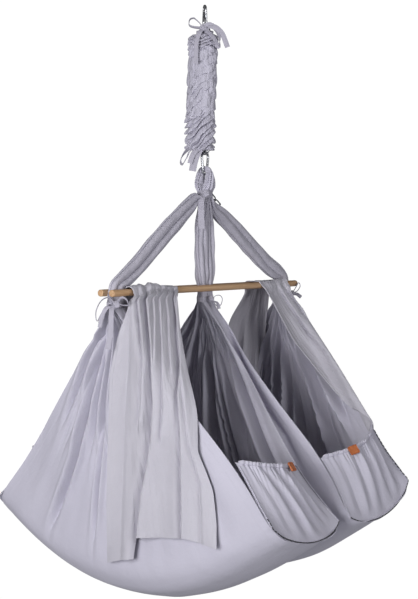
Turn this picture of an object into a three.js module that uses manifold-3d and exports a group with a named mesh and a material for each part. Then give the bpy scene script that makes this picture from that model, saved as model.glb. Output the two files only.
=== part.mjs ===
// A twin hanging baby cradle: two cloth slings side by side, gathered between two wooden rods and
// hung by their arms from a spring with a hook at each end. Millimetres, +Z up, rods along X, beds
// along Y with the foot ends towards -Y. The origin is where a ceiling hook bears in the top hook.
import * as THREE from 'three';
import { mergeVertices } from 'three/addons/utils/BufferGeometryUtils.js';
import Module from 'manifold-3d';

const wasm = await Module();
wasm.setup();

// Fits, cloth and cutting
const clearance = 0.3;
const clothThickness = 2.4;
const cutOverrun = 2;

// The two steel hooks
const hookWire = 6;
const hookLength = 60;
const hookWideWidth = 32;
const hookNarrowWidth = 22;
const hookPin = 2;
const hookTongue = 2;
const hookLatchGap = 0.6;
const topHookTurn = 20;

// The extension spring
const springWire = 4;
const springDiameter = 28;
const springCoilLength = 252;
const springTurns = 15;
const eyeDiameter = 28;

// The cloth cover on the spring
const coverRadius = 35;
const coverRuche = 3.4;
const coverWall = 1.6;

// Cloth loop and arms
const loopHeight = 51;
const loopSpread = 23;
const loopGripWidth = 7.2;
const loopGripShift = 1;
const loopGripDepth = 19;
const loopLegWidth = 22;
const loopLegDepth = 17;
const bundleWidth = 36;
const bundleDepth = 26;
const armWidth = 56;
const armDepth = 17;
const centreArmWidth = 29;

// Safety links between the loop and the right arm
const linkWire = 3.5;
const linkLength = 28;
const linkWidth = 15;
const linkTilt = 33;
const strapWidth = 4;
const strapThickness = 1.5;
const strapRoom = 1;
const strapLength = 6;

// Rods
const apexHeight = 226;
const leftArmRise = 14;
const rightArmDrop = 13;
const rodDiameter = 16;
const rodLength = 776;
const rodGap = 16;
const gatherReach = 352;
const gatherWidth = 46;

// Slings
const bedHalfLength = 391;
const bedOuter = 318;
const bedInner = 14;
const bedEndDrop = 508;
const bedInnerEndDrop = 530;
const bedMiddleDrop = 655;
const rightFootLift = 32;
const bedSag = 57;
const bedSwell = 14;
const bedEndSag = 34;
const sideFold = 6;
const pocketRise = 132;
const pocketOuterPinch = 24;
const pocketInnerPinch = 44;
const pocketBulge = 40;
const hemDiameter = 9;
const tabWidth = 28;
const tabHeight = 22;
const tabThickness = 2;

// Mattresses
const mattressWidth = 262;
const mattressLength = 700;
const mattressThickness = 34;
const mattressCrown = 5;

// Veils
const veilLeftInner = 144;
const veilRightInner = 195;
const veilDrop = 628;
const veilRearDrop = 300;
const veilStandoff = 26;
const veilFold = 8;
const leftVeilShare = 0.46;
const rightVeilShare = 0.58;

// Ribbons
const ribbonWidth = 12;
const ribbonThickness = 2;
const bowSize = 26;
const ribbonTail = 62;

const steel = new THREE.MeshStandardMaterial({ color: 0xc9cbcf, roughness: 0.28, metalness: 1 });
const springSteel = new THREE.MeshStandardMaterial({ color: 0xa9abb0, roughness: 0.35, metalness: 1 });
const slingCloth = new THREE.MeshStandardMaterial({ color: 0xb7b4c3, roughness: 0.92, metalness: 0 });
const veilCloth = new THREE.MeshStandardMaterial({ color: 0xbfbcc9, roughness: 0.92, metalness: 0 });
const ribbonCloth = new THREE.MeshStandardMaterial({ color: 0xaeabbb, roughness: 0.94, metalness: 0 });
const mattressCloth = new THREE.MeshStandardMaterial({ color: 0xe6e2da, roughness: 0.95, metalness: 0 });
const wood = new THREE.MeshStandardMaterial({ color: 0xcd9f6a, roughness: 0.55, metalness: 0 });
const leather = new THREE.MeshStandardMaterial({ color: 0xb4643a, roughness: 0.6, metalness: 0 });

const vec = (x, y, z) => new THREE.Vector3(x, y, z);
const mix = (a, b, t) => a + (b - a) * t;
const smooth = (t) => t * t * (3 - 2 * t);
const hump = (t) => 4 * t * (1 - t);

// Gives a value that passes smoothly through evenly spaced marks.
function profile(marks, t) {
  const place = Math.min(Math.max(t, 0), 1) * (marks.length - 1);
  const index = Math.min(Math.floor(place), marks.length - 2);
  return mix(marks[index], marks[index + 1], smooth(place - index));
}

// Turns corner points and triangles into a geometry whose faces point outwards.
function solidFrom(points, faces) {
  let volume = 0;
  for (const [a, b, c] of faces) volume += points[a].dot(points[b].clone().cross(points[c]));
  const index = [];
  for (const [a, b, c] of faces) index.push(a, volume > 0 ? b : c, volume > 0 ? c : b);
  const geometry = new THREE.BufferGeometry();
  const coordinates = new Float32Array(points.flatMap((p) => p.toArray()));
  geometry.setAttribute('position', new THREE.BufferAttribute(coordinates, 3));
  geometry.setIndex(index);
  return geometry;
}

// Skins a row of outlines that have the same number of points, with a flat end at each side.
function skin(rings) {
  const count = rings[0].length;
  const points = rings.flat();
  const faces = [];
  for (let i = 0; i < rings.length - 1; i += 1) {
    for (let j = 0; j < count; j += 1) {
      const a = i * count + j;
      const b = i * count + (j + 1) % count;
      faces.push([a, b, a + count], [b, b + count, a + count]);
    }
  }
  for (const [ring, turned] of [[0, true], [rings.length - 1, false]]) {
    const middle = rings[ring].reduce((sum, p) => sum.add(p), vec(0, 0, 0)).divideScalar(count);
    const hub = points.push(middle) - 1;
    for (let j = 0; j < count; j += 1) {
      const a = ring * count + j;
      const b = ring * count + (j + 1) % count;
      faces.push(turned ? [hub, b, a] : [hub, a, b]);
    }
  }
  return solidFrom(points, faces);
}

// Gives a sheet its thickness: grid holds rows of points on its middle, closed on themselves if round.
function sheet(grid, thicknessAt, round = false) {
  const rows = grid.length - 1;
  const width = grid[0].length;
  const columns = round ? width : width - 1;
  const layers = [[], []];
  const clamp = (j) => (round ? (j + width) % width : Math.min(Math.max(j, 0), width - 1));
  grid.forEach((row, i) => row.forEach((centre, j) => {
    const across = row[clamp(j + 1)].clone().sub(row[clamp(j - 1)]);
    const down = grid[Math.min(i + 1, rows)][j].clone().sub(grid[Math.max(i - 1, 0)][j]);
    const offset = across.cross(down).setLength(thicknessAt(i / rows) / 2);
    layers[0].push(centre.clone().add(offset));
    layers[1].push(centre.clone().sub(offset));
  }));
  const back = layers[0].length;
  const faces = [];
  const quad = (a, b, c, d) => faces.push([a, b, c], [a, c, d]);
  for (let i = 0; i < rows; i += 1) {
    for (let j = 0; j < columns; j += 1) {
      const a = i * width + j;
      const b = i * width + (j + 1) % width;
      quad(a, b, b + width, a + width);
      quad(back + a, back + a + width, back + b + width, back + b);
    }
    if (!round) {
      const first = i * width;
      const last = first + columns;
      quad(first, first + width, back + first + width, back + first);
      quad(last, back + last, back + last + width, last + width);
    }
  }
  for (let j = 0; j < columns; j += 1) {
    const next = (j + 1) % width;
    const bottom = rows * width;
    quad(j, back + j, back + next, next);
    quad(bottom + j, bottom + next, back + bottom + next, back + bottom + j);
  }
  return solidFrom(layers.flat(), faces);
}

function gridOf(surface, columns, rows, round = false) {
  const width = round ? columns : columns + 1;
  return Array.from({ length: rows + 1 }, (_, i) => (
    Array.from({ length: width }, (__, j) => surface(j / columns, i / rows))
  ));
}

function tube(points, diameter, steps, sides) {
  const section = new THREE.Shape();
  for (let i = 0; i < sides; i += 1) {
    const angle = (2 * Math.PI * i) / sides;
    const x = (Math.cos(angle) * diameter) / 2;
    const y = (Math.sin(angle) * diameter) / 2;
    if (i === 0) section.moveTo(x, y);
    else section.lineTo(x, y);
  }
  section.closePath();
  const extrudePath = new THREE.CatmullRomCurve3(points, false, 'centripetal');
  return new THREE.ExtrudeGeometry(section, { steps, extrudePath, bevelEnabled: false });
}

// A ribbon along points: its width lies along one fixed direction.
function ribbon(points, widthAxis, width, thickness, steps) {
  const path = new THREE.CatmullRomCurve3(points);
  const rings = [];
  for (let i = 0; i <= steps; i += 1) {
    const centre = path.getPoint(i / steps);
    const side = widthAxis.clone().setLength(width / 2);
    const normal = side.clone().cross(path.getTangent(i / steps)).setLength(thickness / 2);
    rings.push([
      centre.clone().add(side).add(normal),
      centre.clone().sub(side).add(normal),
      centre.clone().sub(side).sub(normal),
      centre.clone().add(side).sub(normal),
    ]);
  }
  return skin(rings);
}

function toManifold(geometry) {
  const bare = geometry.clone();
  bare.deleteAttribute('normal');
  bare.deleteAttribute('uv');
  const merged = mergeVertices(bare, clearance / 1000);
  const vertProperties = new Float32Array(merged.attributes.position.array);
  const triVerts = new Uint32Array(merged.index.array);
  return new wasm.Manifold(new wasm.Mesh({ numProp: 3, vertProperties, triVerts }));
}

function fromManifold(solid) {
  const { vertProperties, triVerts } = solid.getMesh();
  const geometry = new THREE.BufferGeometry();
  geometry.setAttribute('position', new THREE.BufferAttribute(vertProperties, 3));
  geometry.setIndex(new THREE.BufferAttribute(triVerts, 1));
  return geometry;
}

function join(geometries) {
  return geometries.map(toManifold).reduce((sum, solid) => sum.add(solid));
}

function piece(name, geometry, material, parent) {
  const mesh = new THREE.Mesh(geometry, material);
  mesh.name = name;
  parent.add(mesh);
  return mesh;
}

// Hook: an egg of round wire. In its own frame the narrow bow's centre is at zero, the wide bow is
// towards +Z and the gate side is towards -X.
const narrowRadius = (hookNarrowWidth - hookWire) / 2;
const wideRadius = (hookWideWidth - hookWire) / 2;
const hookSpan = hookLength - hookWire - narrowRadius - wideRadius;
const hookLean = Math.asin((wideRadius - narrowRadius) / hookSpan);
const gateSide = vec(-Math.cos(hookLean), 0, -Math.sin(hookLean));
const gateFoot = gateSide.clone().multiplyScalar(narrowRadius);
const gateHead = gateSide.clone().multiplyScalar(wideRadius).add(vec(0, 0, hookSpan));
const gateWay = gateHead.clone().sub(gateFoot).normalize();
const pinOffset = hookWire / 2 + clearance;
const gatePin = gateFoot.clone().addScaledVector(gateWay, pinOffset);
const gateReach = gateFoot.distanceTo(gateHead) - pinOffset - hookLatchGap;

function hookWirePath() {
  const points = [];
  const bow = (radius, height, from, to, count) => {
    for (let i = 0; i <= count; i += 1) {
      const angle = mix(from, to, i / count);
      points.push(vec(Math.cos(angle) * radius, 0, Math.sin(angle) * radius + height));
    }
  };
  bow(wideRadius, hookSpan, Math.PI + hookLean, -hookLean, 12);
  bow(narrowRadius, 0, -hookLean, hookLean - Math.PI, 9);
  return points;
}

// Turns a shape made along +Z so that it runs up the gate line from the pin.
function onGateLine(geometry) {
  const lean = Math.atan2(gateWay.x, gateWay.z);
  return geometry.rotateY(lean).translate(gatePin.x, 0, gatePin.z);
}

function crossPin(diameter, length) {
  return onGateLine(new THREE.CylinderGeometry(diameter / 2, diameter / 2, length, 10));
}

function hookBody() {
  const wire = tube(hookWirePath(), hookWire, 30, 9);
  const tongueWidth = hookWire - 4 * clearance;
  const tongueFoot = pinOffset + cutOverrun;
  const plate = new THREE.BoxGeometry(tongueWidth, hookTongue, tongueFoot).translate(0, 0, -tongueFoot / 2);
  const nose = new THREE.CylinderGeometry(tongueWidth / 2, tongueWidth / 2, hookTongue, 12);
  const solid = join([wire, onGateLine(plate), onGateLine(nose)]);
  return fromManifold(solid.subtract(toManifold(crossPin(hookPin + 2 * clearance, hookWire))));
}

function hookGate() {
  const bar = new THREE.CylinderGeometry(hookWire / 2, hookWire / 2, gateReach, 10).rotateX(Math.PI / 2);
  const ball = new THREE.SphereGeometry(hookWire / 2, 10, 6).rotateX(Math.PI / 2);
  const solid = join([onGateLine(bar.translate(0, 0, gateReach / 2)), onGateLine(ball)]);
  const slotLength = 2 * hookWire;
  const slotWidth = hookWire + 2 * cutOverrun;
  const slot = new THREE.BoxGeometry(slotWidth, hookTongue + 2 * clearance, slotLength);
  const pinHole = crossPin(hookPin + 2 * clearance, hookWire + 2 * cutOverrun);
  return fromManifold(solid.subtract(toManifold(onGateLine(slot))).subtract(toManifold(pinHole)));
}

function addHook(name, parent) {
  piece(`${name}_hook`, hookBody(), steel, parent);
  piece(`${name}_hook_gate`, hookGate(), steel, parent);
  piece(`${name}_hook_pin`, crossPin(hookPin, hookWire - 2 * clearance), steel, parent);
}

const narrowInside = narrowRadius - hookWire / 2;
const wideInside = wideRadius - hookWire / 2;
const topHookBearing = -(narrowInside + hookSpan + wideInside);
const eyeRadius = (eyeDiameter - springWire) / 2;
const eyeSeat = wideInside - Math.sqrt(wideInside ** 2 - (springWire / 2) ** 2) + 2 * clearance;
const topEyeCentre = topHookBearing + eyeSeat + springWire / 2 - eyeRadius;
const springTop = topEyeCentre - eyeRadius - springWire;
const springFoot = springTop - springCoilLength;
const lowEyeCentre = springFoot - eyeRadius - springWire;
const lowHookTop = lowEyeCentre - eyeRadius + springWire / 2 + eyeSeat + hookWire;
const lowHookWideCentre = lowHookTop - hookWire / 2 - wideRadius;
const lowHookNarrowCentre = lowHookWideCentre - hookSpan;
const lowHookBearing = lowHookNarrowCentre - narrowInside;

// Spring: one wire that makes the upper eye, the coil and the lower eye.
const eyeOpenShare = 0.3;

function eyePoints(centre, turn, up) {
  const points = [];
  const count = 10;
  const opening = Math.PI * eyeOpenShare;
  for (let i = 0; i <= count; i += 1) {
    const angle = up * mix(opening - Math.PI / 2, 1.5 * Math.PI - opening, i / count);
    const reach = Math.cos(angle) * eyeRadius;
    points.push(vec(reach * Math.cos(turn), reach * Math.sin(turn), centre + Math.sin(angle) * eyeRadius));
  }
  return points;
}

function springWirePath() {
  const coilRadius = (springDiameter - springWire) / 2;
  const topTurn = THREE.MathUtils.degToRad(topHookTurn) + Math.PI / 2;
  const lowTurn = Math.PI / 2;
  const startTurn = topTurn + Math.PI;
  const wholeTurns = Math.PI * (2 * springTurns) + lowTurn - topTurn;
  const points = eyePoints(topEyeCentre, topTurn, 1);
  const steps = springTurns * 8;
  for (let i = 0; i <= steps; i += 1) {
    const angle = startTurn + (wholeTurns * i) / steps;
    const height = mix(springTop, springFoot, i / steps);
    points.push(vec(Math.cos(angle) * coilRadius, Math.sin(angle) * coilRadius, height));
  }
  return [...points, ...eyePoints(lowEyeCentre, lowTurn, -1).reverse()];
}

// Least gap between the spring's turns, measured on its centre line.
function leastCoilGap(points) {
  const path = new THREE.CatmullRomCurve3(points, false, 'centripetal');
  const samples = path.getSpacedPoints(springTurns * 24);
  const reach = Math.ceil((Math.PI * springWire) / (path.getLength() / samples.length));
  let least = Infinity;
  samples.forEach((p, i) => {
    for (let j = i + reach; j < samples.length; j += 1) least = Math.min(least, p.distanceTo(samples[j]));
  });
  return least - springWire;
}

// Cover: a cloth sleeve round the spring, drawn up in ruches and tied in at both ends.
const coverNeckRadius = springDiameter / 2 + clearance + coverWall / 2;
const coverRadiusShares = [0, 0.96, 1, 1, 1.02, 1, 0.94, 0];
const rucheShare = 0.66;
const calmShare = 0.45;
const rucheTurns = 8;

// Gives the sleeve's middle surface: u runs round it and v down it.
function coverSurface(u, v) {
  const angle = 2 * Math.PI * u;
  const neck = (ribbonWidth + 2 * clearance) / (topEyeCentre - lowEyeCentre);
  const body = Math.min(Math.max((v - neck) / (1 - 2 * neck), 0), 1);
  const radius = mix(coverNeckRadius, coverRadius, profile(coverRadiusShares, body));
  const edge = Math.min(1, hump(body) * 3);
  const tightness = mix(1, calmShare, hump(body));
  const turn = 2 * Math.PI * rucheTurns * v;
  const ruche = Math.sin(turn + 2 * Math.sin(angle)) + 0.5 * Math.sin(3 * angle + turn / 2);
  const reach = radius + edge * tightness * coverRuche * ruche * rucheShare;
  return vec(Math.cos(angle) * reach, Math.sin(angle) * reach, mix(topEyeCentre, lowEyeCentre, v));
}

const stripShare = 0.6;
const stripLeanShare = 0.4;
const crossTieShare = 0.6;

// Ties: a band of ribbon round a bundle, a knot, a bow's loops and its tails, sewn as one. A loop or
// a tail is a list of [sideways, down, outward] turning points, as shares of the bow or the tail.
function boxOutline(target, halfX, halfY) {
  target.moveTo(-halfX, -halfY).lineTo(halfX, -halfY).lineTo(halfX, halfY).lineTo(-halfX, halfY);
  target.closePath();
  return target;
}

function band(halfX, halfY, z) {
  const shape = boxOutline(new THREE.Shape(), halfX + ribbonThickness, halfY + ribbonThickness);
  shape.holes.push(boxOutline(new THREE.Path(), halfX, halfY));
  const strip = new THREE.ExtrudeGeometry(shape, { depth: ribbonWidth, bevelEnabled: false });
  return strip.translate(0, 0, z - ribbonWidth / 2);
}

function tieKnot(at, outward, loops, tails) {
  const sideways = vec(-outward.y, outward.x, 0);
  const knot = new THREE.SphereGeometry(ribbonWidth / 2, 8, 5);
  const parts = [knot.translate(at.x, at.y, at.z)];
  const strip = (marks, size, steps) => {
    const points = marks.map(([side, down, out]) => at.clone()
      .addScaledVector(sideways, side * size)
      .addScaledVector(outward, out * size)
      .add(vec(0, 0, -down * size)));
    const width = outward.clone().addScaledVector(sideways, stripLeanShare);
    parts.push(ribbon(points, width, ribbonWidth * stripShare, ribbonThickness, steps));
  };
  loops.forEach((marks) => strip(marks, bowSize, 8));
  tails.forEach((marks) => strip(marks, ribbonTail, 4));
  return parts;
}

// facing is the knot's side: 0 is the foot side and a quarter turn is towards +X.
function tie(halfX, halfY, z, facing, loops, tails) {
  const outward = vec(Math.sin(facing), -Math.cos(facing), 0);
  const reach = 1 / Math.max(Math.abs(outward.x) / halfX, Math.abs(outward.y) / halfY);
  const at = outward.clone().multiplyScalar(reach + ribbonWidth / 2 + clearance).add(vec(0, 0, z));
  return fromManifold(join([band(halfX, halfY, z), ...tieKnot(at, outward, loops, tails)]));
}

const leftBowShares = [[0, -0.08, 0], [-0.6, -0.3, 0.1], [-1.1, 0, 0.4], [-0.9, 0.7, 0.7], [0, 0.12, 0.1]];
const rightBowShares = leftBowShares.map(([side, down, out]) => [-side, down, out]);
const shortTailShares = [[0, 0, 0], [0.1, 0.25, 0.1], [0.15, 0.6, 0.15]];
const longTailShares = [[0, 0, 0], [-0.1, 0.3, 0.1], [-0.15, 1.2, 0.12]];
const overCoverTailShares = [[0, 0, 0], [-0.1, 0.2, 0.42], [-0.15, 1.3, 0.45]];
const cameraSide = THREE.MathUtils.degToRad(-55);

// Cradle: everything below the lower hook, in a frame whose zero is midway between the rods.
const loopTop = apexHeight + loopHeight;

// An oval or nearly square ring of points: half and half2 are its two half axes.
function outline(centre, half, half2, power, sides, pleat = 0) {
  const points = [];
  const rounded = (value) => Math.sign(value) * Math.abs(value) ** (2 / power);
  for (let i = 0; i < sides; i += 1) {
    const angle = (2 * Math.PI * (i + 0.5)) / sides;
    const swell = 1 - pleat * (0.5 + 0.5 * Math.cos(6 * angle));
    points.push(centre.clone()
      .addScaledVector(half, rounded(Math.cos(angle)))
      .addScaledVector(half2, rounded(Math.sin(angle)) * swell));
  }
  return points;
}

// The hanging loop: cloth that rises from the apex tie, passes through the hook and comes back. Its
// way is a list of [spread, rise] shares.
const loopWayShares = [[0.82, 0.34], [1, 0.6], [0.55, 0.92]];
const loopTaperShare = 0.85;

function hangingLoop() {
  const legY = bundleDepth / 4 + clearance / 4;
  const grip = loopTop + clearance + loopGripDepth / 2;
  const rise = grip - apexHeight;
  const leg = (sign) => [
    vec(0, sign * legY, apexHeight + clearance / 2),
    vec(0, sign * legY, apexHeight + ribbonWidth * (crossTieShare + stripLeanShare / 8)),
    ...loopWayShares.map(([spread, up]) => vec(0, sign * loopSpread * spread, apexHeight + rise * up)),
  ];
  const way = new THREE.CatmullRomCurve3([...leg(-1), vec(loopGripShift, 0, grip), ...leg(1).reverse()]);
  const rings = [];
  const steps = 20;
  for (let i = 0; i <= steps; i += 1) {
    const t = i / steps;
    const fromEnd = Math.min(t, 1 - t) * 2;
    const width = profile([bundleWidth, loopLegWidth, loopLegWidth, loopLegWidth, loopGripWidth], fromEnd);
    const legDepth = 2 * legY - 2 * clearance;
    const taper = legDepth * loopTaperShare;
    const depth = profile([legDepth, taper, loopLegDepth, loopLegDepth, loopGripDepth], fromEnd);
    const tangent = i === 0 || i === steps ? vec(0, 0, 1) : way.getTangent(t);
    const across = vec(0, -tangent.z, tangent.y).setLength(depth / 2);
    const power = i === 0 || i === steps ? 4 : 2;
    rings.push(outline(way.getPoint(t), vec(width / 2 - clearance, 0, 0), across, power, 10));
  }
  return skin(rings);
}

// An outer arm leaves the apex tie and slopes down to pass between the rods at the end gather. Its
// root is a list of [upper x, lower x, upper drop, lower drop] shares of half the bundle.
const armRootShares = [[1, 0.55, 0, 0.17], [1.25, 0.72, 0.4, 0.8]];
const armPleatShare = 0.25;
const armEndShares = [0.4, 0.9, 2.9, 0.6];
const armStationShares = [[0.1, 0.46], [0.2, 0.74], [0.36, 0.96], [0.56, 1], [0.76, 0.88]];

function outerArm(side, topDrop) {
  const rise = apexHeight - topDrop;
  const slope = vec(gatherReach, 0, -rise).normalize();
  const across = vec(-slope.z, 0, slope.x);
  const rings = [];
  const ring = (upper, lower, halfDepth, pleat) => {
    const centre = upper.clone().add(lower).multiplyScalar(0.5);
    const half = upper.clone().sub(lower).multiplyScalar(0.5);
    const points = outline(centre, half, vec(0, halfDepth, 0), 4, 14, pleat);
    rings.push(points.map((p) => vec(p.x * side, p.y, p.z)));
  };
  const half = bundleWidth / 2;
  const top = apexHeight - clearance / 2;
  const below = apexHeight - ribbonWidth * crossTieShare;
  ring(vec(half, 0, top), vec(half / 2, 0, top), bundleDepth / 2, 0);
  for (const [upperX, lowerX, upperDrop, lowerDrop] of armRootShares) {
    const upper = vec(half * upperX, 0, below - half * upperDrop);
    ring(upper, vec(half * lowerX, 0, below - half * lowerDrop), bundleDepth / 2, 0);
  }
  for (const [reach, width] of armStationShares) {
    const centre = vec(gatherReach * reach, 0, mix(apexHeight - topDrop, 0, reach));
    const spread = across.clone().multiplyScalar((armWidth * width) / 2);
    ring(centre.clone().add(spread), centre.clone().sub(spread), armDepth / 2, armPleatShare);
  }
  const neck = rodGap / 2 - clearance;
  const outerX = gatherReach + gatherWidth / 2;
  const innerX = gatherReach - gatherWidth / 2;
  const [endOuterShare, endInnerShare, endHeightShare, endNeckShare] = armEndShares;
  const overVeil = rodDiameter / 2 + clothThickness + 4 * clearance;
  const lastUpper = vec(gatherReach - gatherWidth * endOuterShare, 0, rodDiameter * endHeightShare);
  const lastLower = vec(gatherReach - gatherWidth * endInnerShare, 0, overVeil + 2 * clothThickness / 3);
  ring(lastUpper, lastLower, armDepth / 2, armPleatShare);
  const neckUpper = vec(outerX - rodDiameter * endNeckShare, 0, rodDiameter * 1.5);
  ring(neckUpper, vec(innerX - clearance, 0, overVeil), neck, 0);
  ring(vec(outerX, 0, clearance / 2), vec(innerX, 0, clearance / 2), neck, 0);
  return skin(rings);
}

// An inner arm hangs straight down beside its neighbour to the centre gather.
const innerArmShares = [[0.94, 0.32], [0.85, 0.5], [0.72, 0.82], [0.54, 1], [0.32, 1], [0.13, 0.9]];

function innerArm(side) {
  const rings = [];
  const ring = (height, outer, halfDepth, pleat) => {
    const centre = vec(side * (outer + clearance / 2) / 2, 0, height);
    const half = vec((outer - clearance / 2) / 2, 0, 0);
    rings.push(outline(centre, half, vec(0, halfDepth, 0), 4, 14, pleat));
  };
  ring(apexHeight - clearance / 2, bundleWidth / 4 - clearance / 2, bundleDepth / 2, 0);
  for (const [height, width] of innerArmShares) {
    ring(apexHeight * height, centreArmWidth * width, armDepth / 2, armPleatShare);
  }
  const neck = rodGap / 2 - clearance;
  ring(rodDiameter / 2, gatherWidth / 2, neck, 0);
  ring(clearance / 2, gatherWidth / 2, neck, 0);
  return skin(rings);
}

function rod() {
  const round = rodDiameter / 8;
  const profilePoints = [
    [0, -rodLength / 2], [rodDiameter / 2 - round, -rodLength / 2], [rodDiameter / 2, round - rodLength / 2],
    [rodDiameter / 2, rodLength / 2 - round], [rodDiameter / 2 - round, rodLength / 2], [0, rodLength / 2],
  ];
  const points = profilePoints.map(([x, y]) => new THREE.Vector2(x, y));
  return new THREE.LatheGeometry(points, 16).rotateZ(Math.PI / 2);
}

// A steel link: an oval ring of wire that lies along +X.
function link() {
  const bend = (linkWidth - linkWire) / 2;
  const straight = linkLength / 2 - linkWire / 2 - bend;
  const points = [];
  for (const end of [1, -1]) {
    for (let i = 0; i <= 6; i += 1) {
      const angle = (Math.PI * i) / 6 - Math.PI / 2;
      points.push(vec(end * (straight + Math.cos(angle) * bend), end * Math.sin(angle) * bend, 0));
    }
  }
  const sides = 6;
  const corners = [];
  const faces = [];
  const corner = (i, j) => (i % points.length) * sides + (j % sides);
  points.forEach((point, i) => {
    const chord = points[(i + 1) % points.length].clone().sub(points.at(i - 1));
    const outward = chord.cross(vec(0, 0, 1)).setLength(linkWire / 2);
    for (let j = 0; j < sides; j += 1) {
      const angle = (2 * Math.PI * j) / sides;
      const side = outward.clone().multiplyScalar(Math.cos(angle));
      corners.push(point.clone().add(side).add(vec(0, 0, (Math.sin(angle) * linkWire) / 2)));
      faces.push([corner(i, j), corner(i + 1, j), corner(i, j + 1)]);
      faces.push([corner(i + 1, j), corner(i + 1, j + 1), corner(i, j + 1)]);
    }
  });
  return solidFrom(corners, faces);
}

// A strap: a narrow strip bent round the end wire of a link. crown is the way its bend points.
function strap(at, crown, sideways, length) {
  const reach = linkWire / 2 + strapRoom + strapThickness / 2;
  const shares = [[-length / reach, 1], [0, 1], [1, 0], [0, -1], [-length / reach, -1]];
  const points = shares.map(([up, side]) => at.clone()
    .addScaledVector(crown, up * reach)
    .addScaledVector(sideways, side * reach));
  return ribbon(points, crown.clone().cross(sideways), strapWidth, strapThickness, 10);
}

// Sling sides: each is a fan of cloth that hangs from its gather to one long edge of the bed. The
// fan is measured by across, from -1 at the foot to 1 at the head, and by reach, 0 at the gather.
const neckDrop = rodDiameter / 2 + ribbonWidth * 2.2;
const neckRows = 3;
const fanRows = 8;
const neckShare = neckRows / (neckRows + fanRows);
const neckHalfDepth = rodGap / 2 + clothThickness;
const edgeCurve = 2.05;
const fanTaperShare = 0.22;

function bedEdge(bed, outer, across) {
  const bend = Math.abs(across) ** edgeCurve;
  const x = outer ? bedOuter + bedSwell * (1 - across * across) : bedInner;
  const endDrop = outer ? bedEndDrop : bedInnerEndDrop;
  const lift = bed > 0 && outer ? rightFootLift * ((1 - across) / 2) ** 3 : 0;
  return vec(bed * x, across * bedHalfLength, lift - mix(bedMiddleDrop, endDrop, bend));
}

function fanPoint(bed, outer, across, reach) {
  const neckX = outer ? gatherReach : gatherWidth / 4 + clearance / 4;
  const start = vec(bed * neckX, across * neckHalfDepth, -neckDrop);
  const point = start.lerp(bedEdge(bed, outer, across), reach);
  const pinch = Math.sin(Math.PI * reach ** 2.4) * Math.abs(across) ** 3;
  const inward = outer ? -pocketOuterPinch : pocketInnerPinch;
  const fold = Math.sin(Math.PI * reach) ** 0.7 * Math.cos(3.5 * Math.PI * (across + 1)) - 0.2;
  const outward = outer ? sideFold : -sideFold;
  const calm = (1 - Math.abs(across) ** 6) * Math.min(1, 2 * hump(reach));
  point.x += bed * (pinch * inward + fold * outward * calm);
  return point;
}

// Places the fan's rows closer together near the gather, where the cloth thins out fast.
function fanReach(v) {
  return ((v - neckShare) / (1 - neckShare)) ** 1.4;
}

function slingSide(bed, outer) {
  const columns = 14;
  const neckX = outer ? gatherReach : gatherWidth / 4 + clearance / 4;
  const between = rodGap / 2 - clearance;
  const grid = gridOf((u, v) => {
    const across = 2 * u - 1;
    if (v < neckShare - Number.EPSILON) {
      const half = profile([between, between, neckHalfDepth, neckHalfDepth], v / neckShare);
      return vec(bed * neckX, across * half, -mix(clearance / 2, neckDrop, v / neckShare));
    }
    return fanPoint(bed, outer, across, fanReach(v));
  }, columns, neckRows + fanRows);
  const neckThickness = outer ? gatherWidth : gatherWidth / 2 - clearance / 2;
  return sheet(grid, (v) => {
    if (v <= neckShare) return neckThickness;
    return mix(neckThickness, clothThickness, smooth(Math.min(1, fanReach(v) / fanTaperShare)));
  });
}

// Base: the cloth under the mattress, from the outer long edge to the inner one.
const baseLift = clothThickness + 2 * clearance;
const endBulgeShare = 0.35;

function basePoint(bed, u, across) {
  const outer = bedEdge(bed, true, across);
  const point = outer.clone().lerp(bedEdge(bed, false, across), u);
  point.z -= mix(bedSag, bedEndSag, Math.abs(across) ** edgeCurve) * hump(u) + baseLift;
  point.y += Math.sign(across) * pocketBulge * endBulgeShare * hump(u) * across ** 6;
  return point;
}

function slingBase(bed) {
  const grid = gridOf((u, v) => basePoint(bed, u, 2 * v - 1), 6, 14);
  return sheet(grid, () => clothThickness);
}

// Pockets: the end cloths of the bed, drawn in at the top by an elastic hem.
const hemReach = 1 - pocketRise / bedEndDrop;
const hemEndShare = 0.04;

function pocketPoint(bed, end, u, v) {
  const reach = mix(1, hemReach, v);
  const inset = clothThickness / 2 + 3 * clearance;
  const outer = fanPoint(bed, true, end, reach).add(vec(-bed * inset, 0, 0));
  const inner = fanPoint(bed, false, end, reach).add(vec(bed * inset, 0, 0));
  const point = outer.lerp(inner, u);
  const bulge = mix(endBulgeShare, 1, Math.sin((Math.PI / 2) * v));
  const wrinkle = Math.sin(7 * Math.PI * u + 2 * v) * clothThickness * hump(u) * v;
  point.y += end * (pocketBulge * bulge * hump(u) + wrinkle);
  point.z -= bedEndSag * hump(u) * (1 - v) ** 1.5;
  return point;
}

function pocket(bed, end) {
  return sheet(gridOf((u, v) => pocketPoint(bed, end, u, v), 10, 4), () => clothThickness);
}

function hemPoint(bed, end, u) {
  return pocketPoint(bed, end, u, 1).add(vec(0, 0, hemDiameter / 2 + clearance * 3));
}

function hem(bed, end) {
  const points = [];
  const marks = 12;
  for (let i = 0; i <= marks; i += 1) {
    points.push(hemPoint(bed, end, mix(hemEndShare, 1 - hemEndShare, i / marks)));
  }
  return tube(points, hemDiameter, 14, 7);
}

// The bare leather tab lies on the front of the foot hem, nearer to its inner end.
const tabShare = 0.7;

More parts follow.
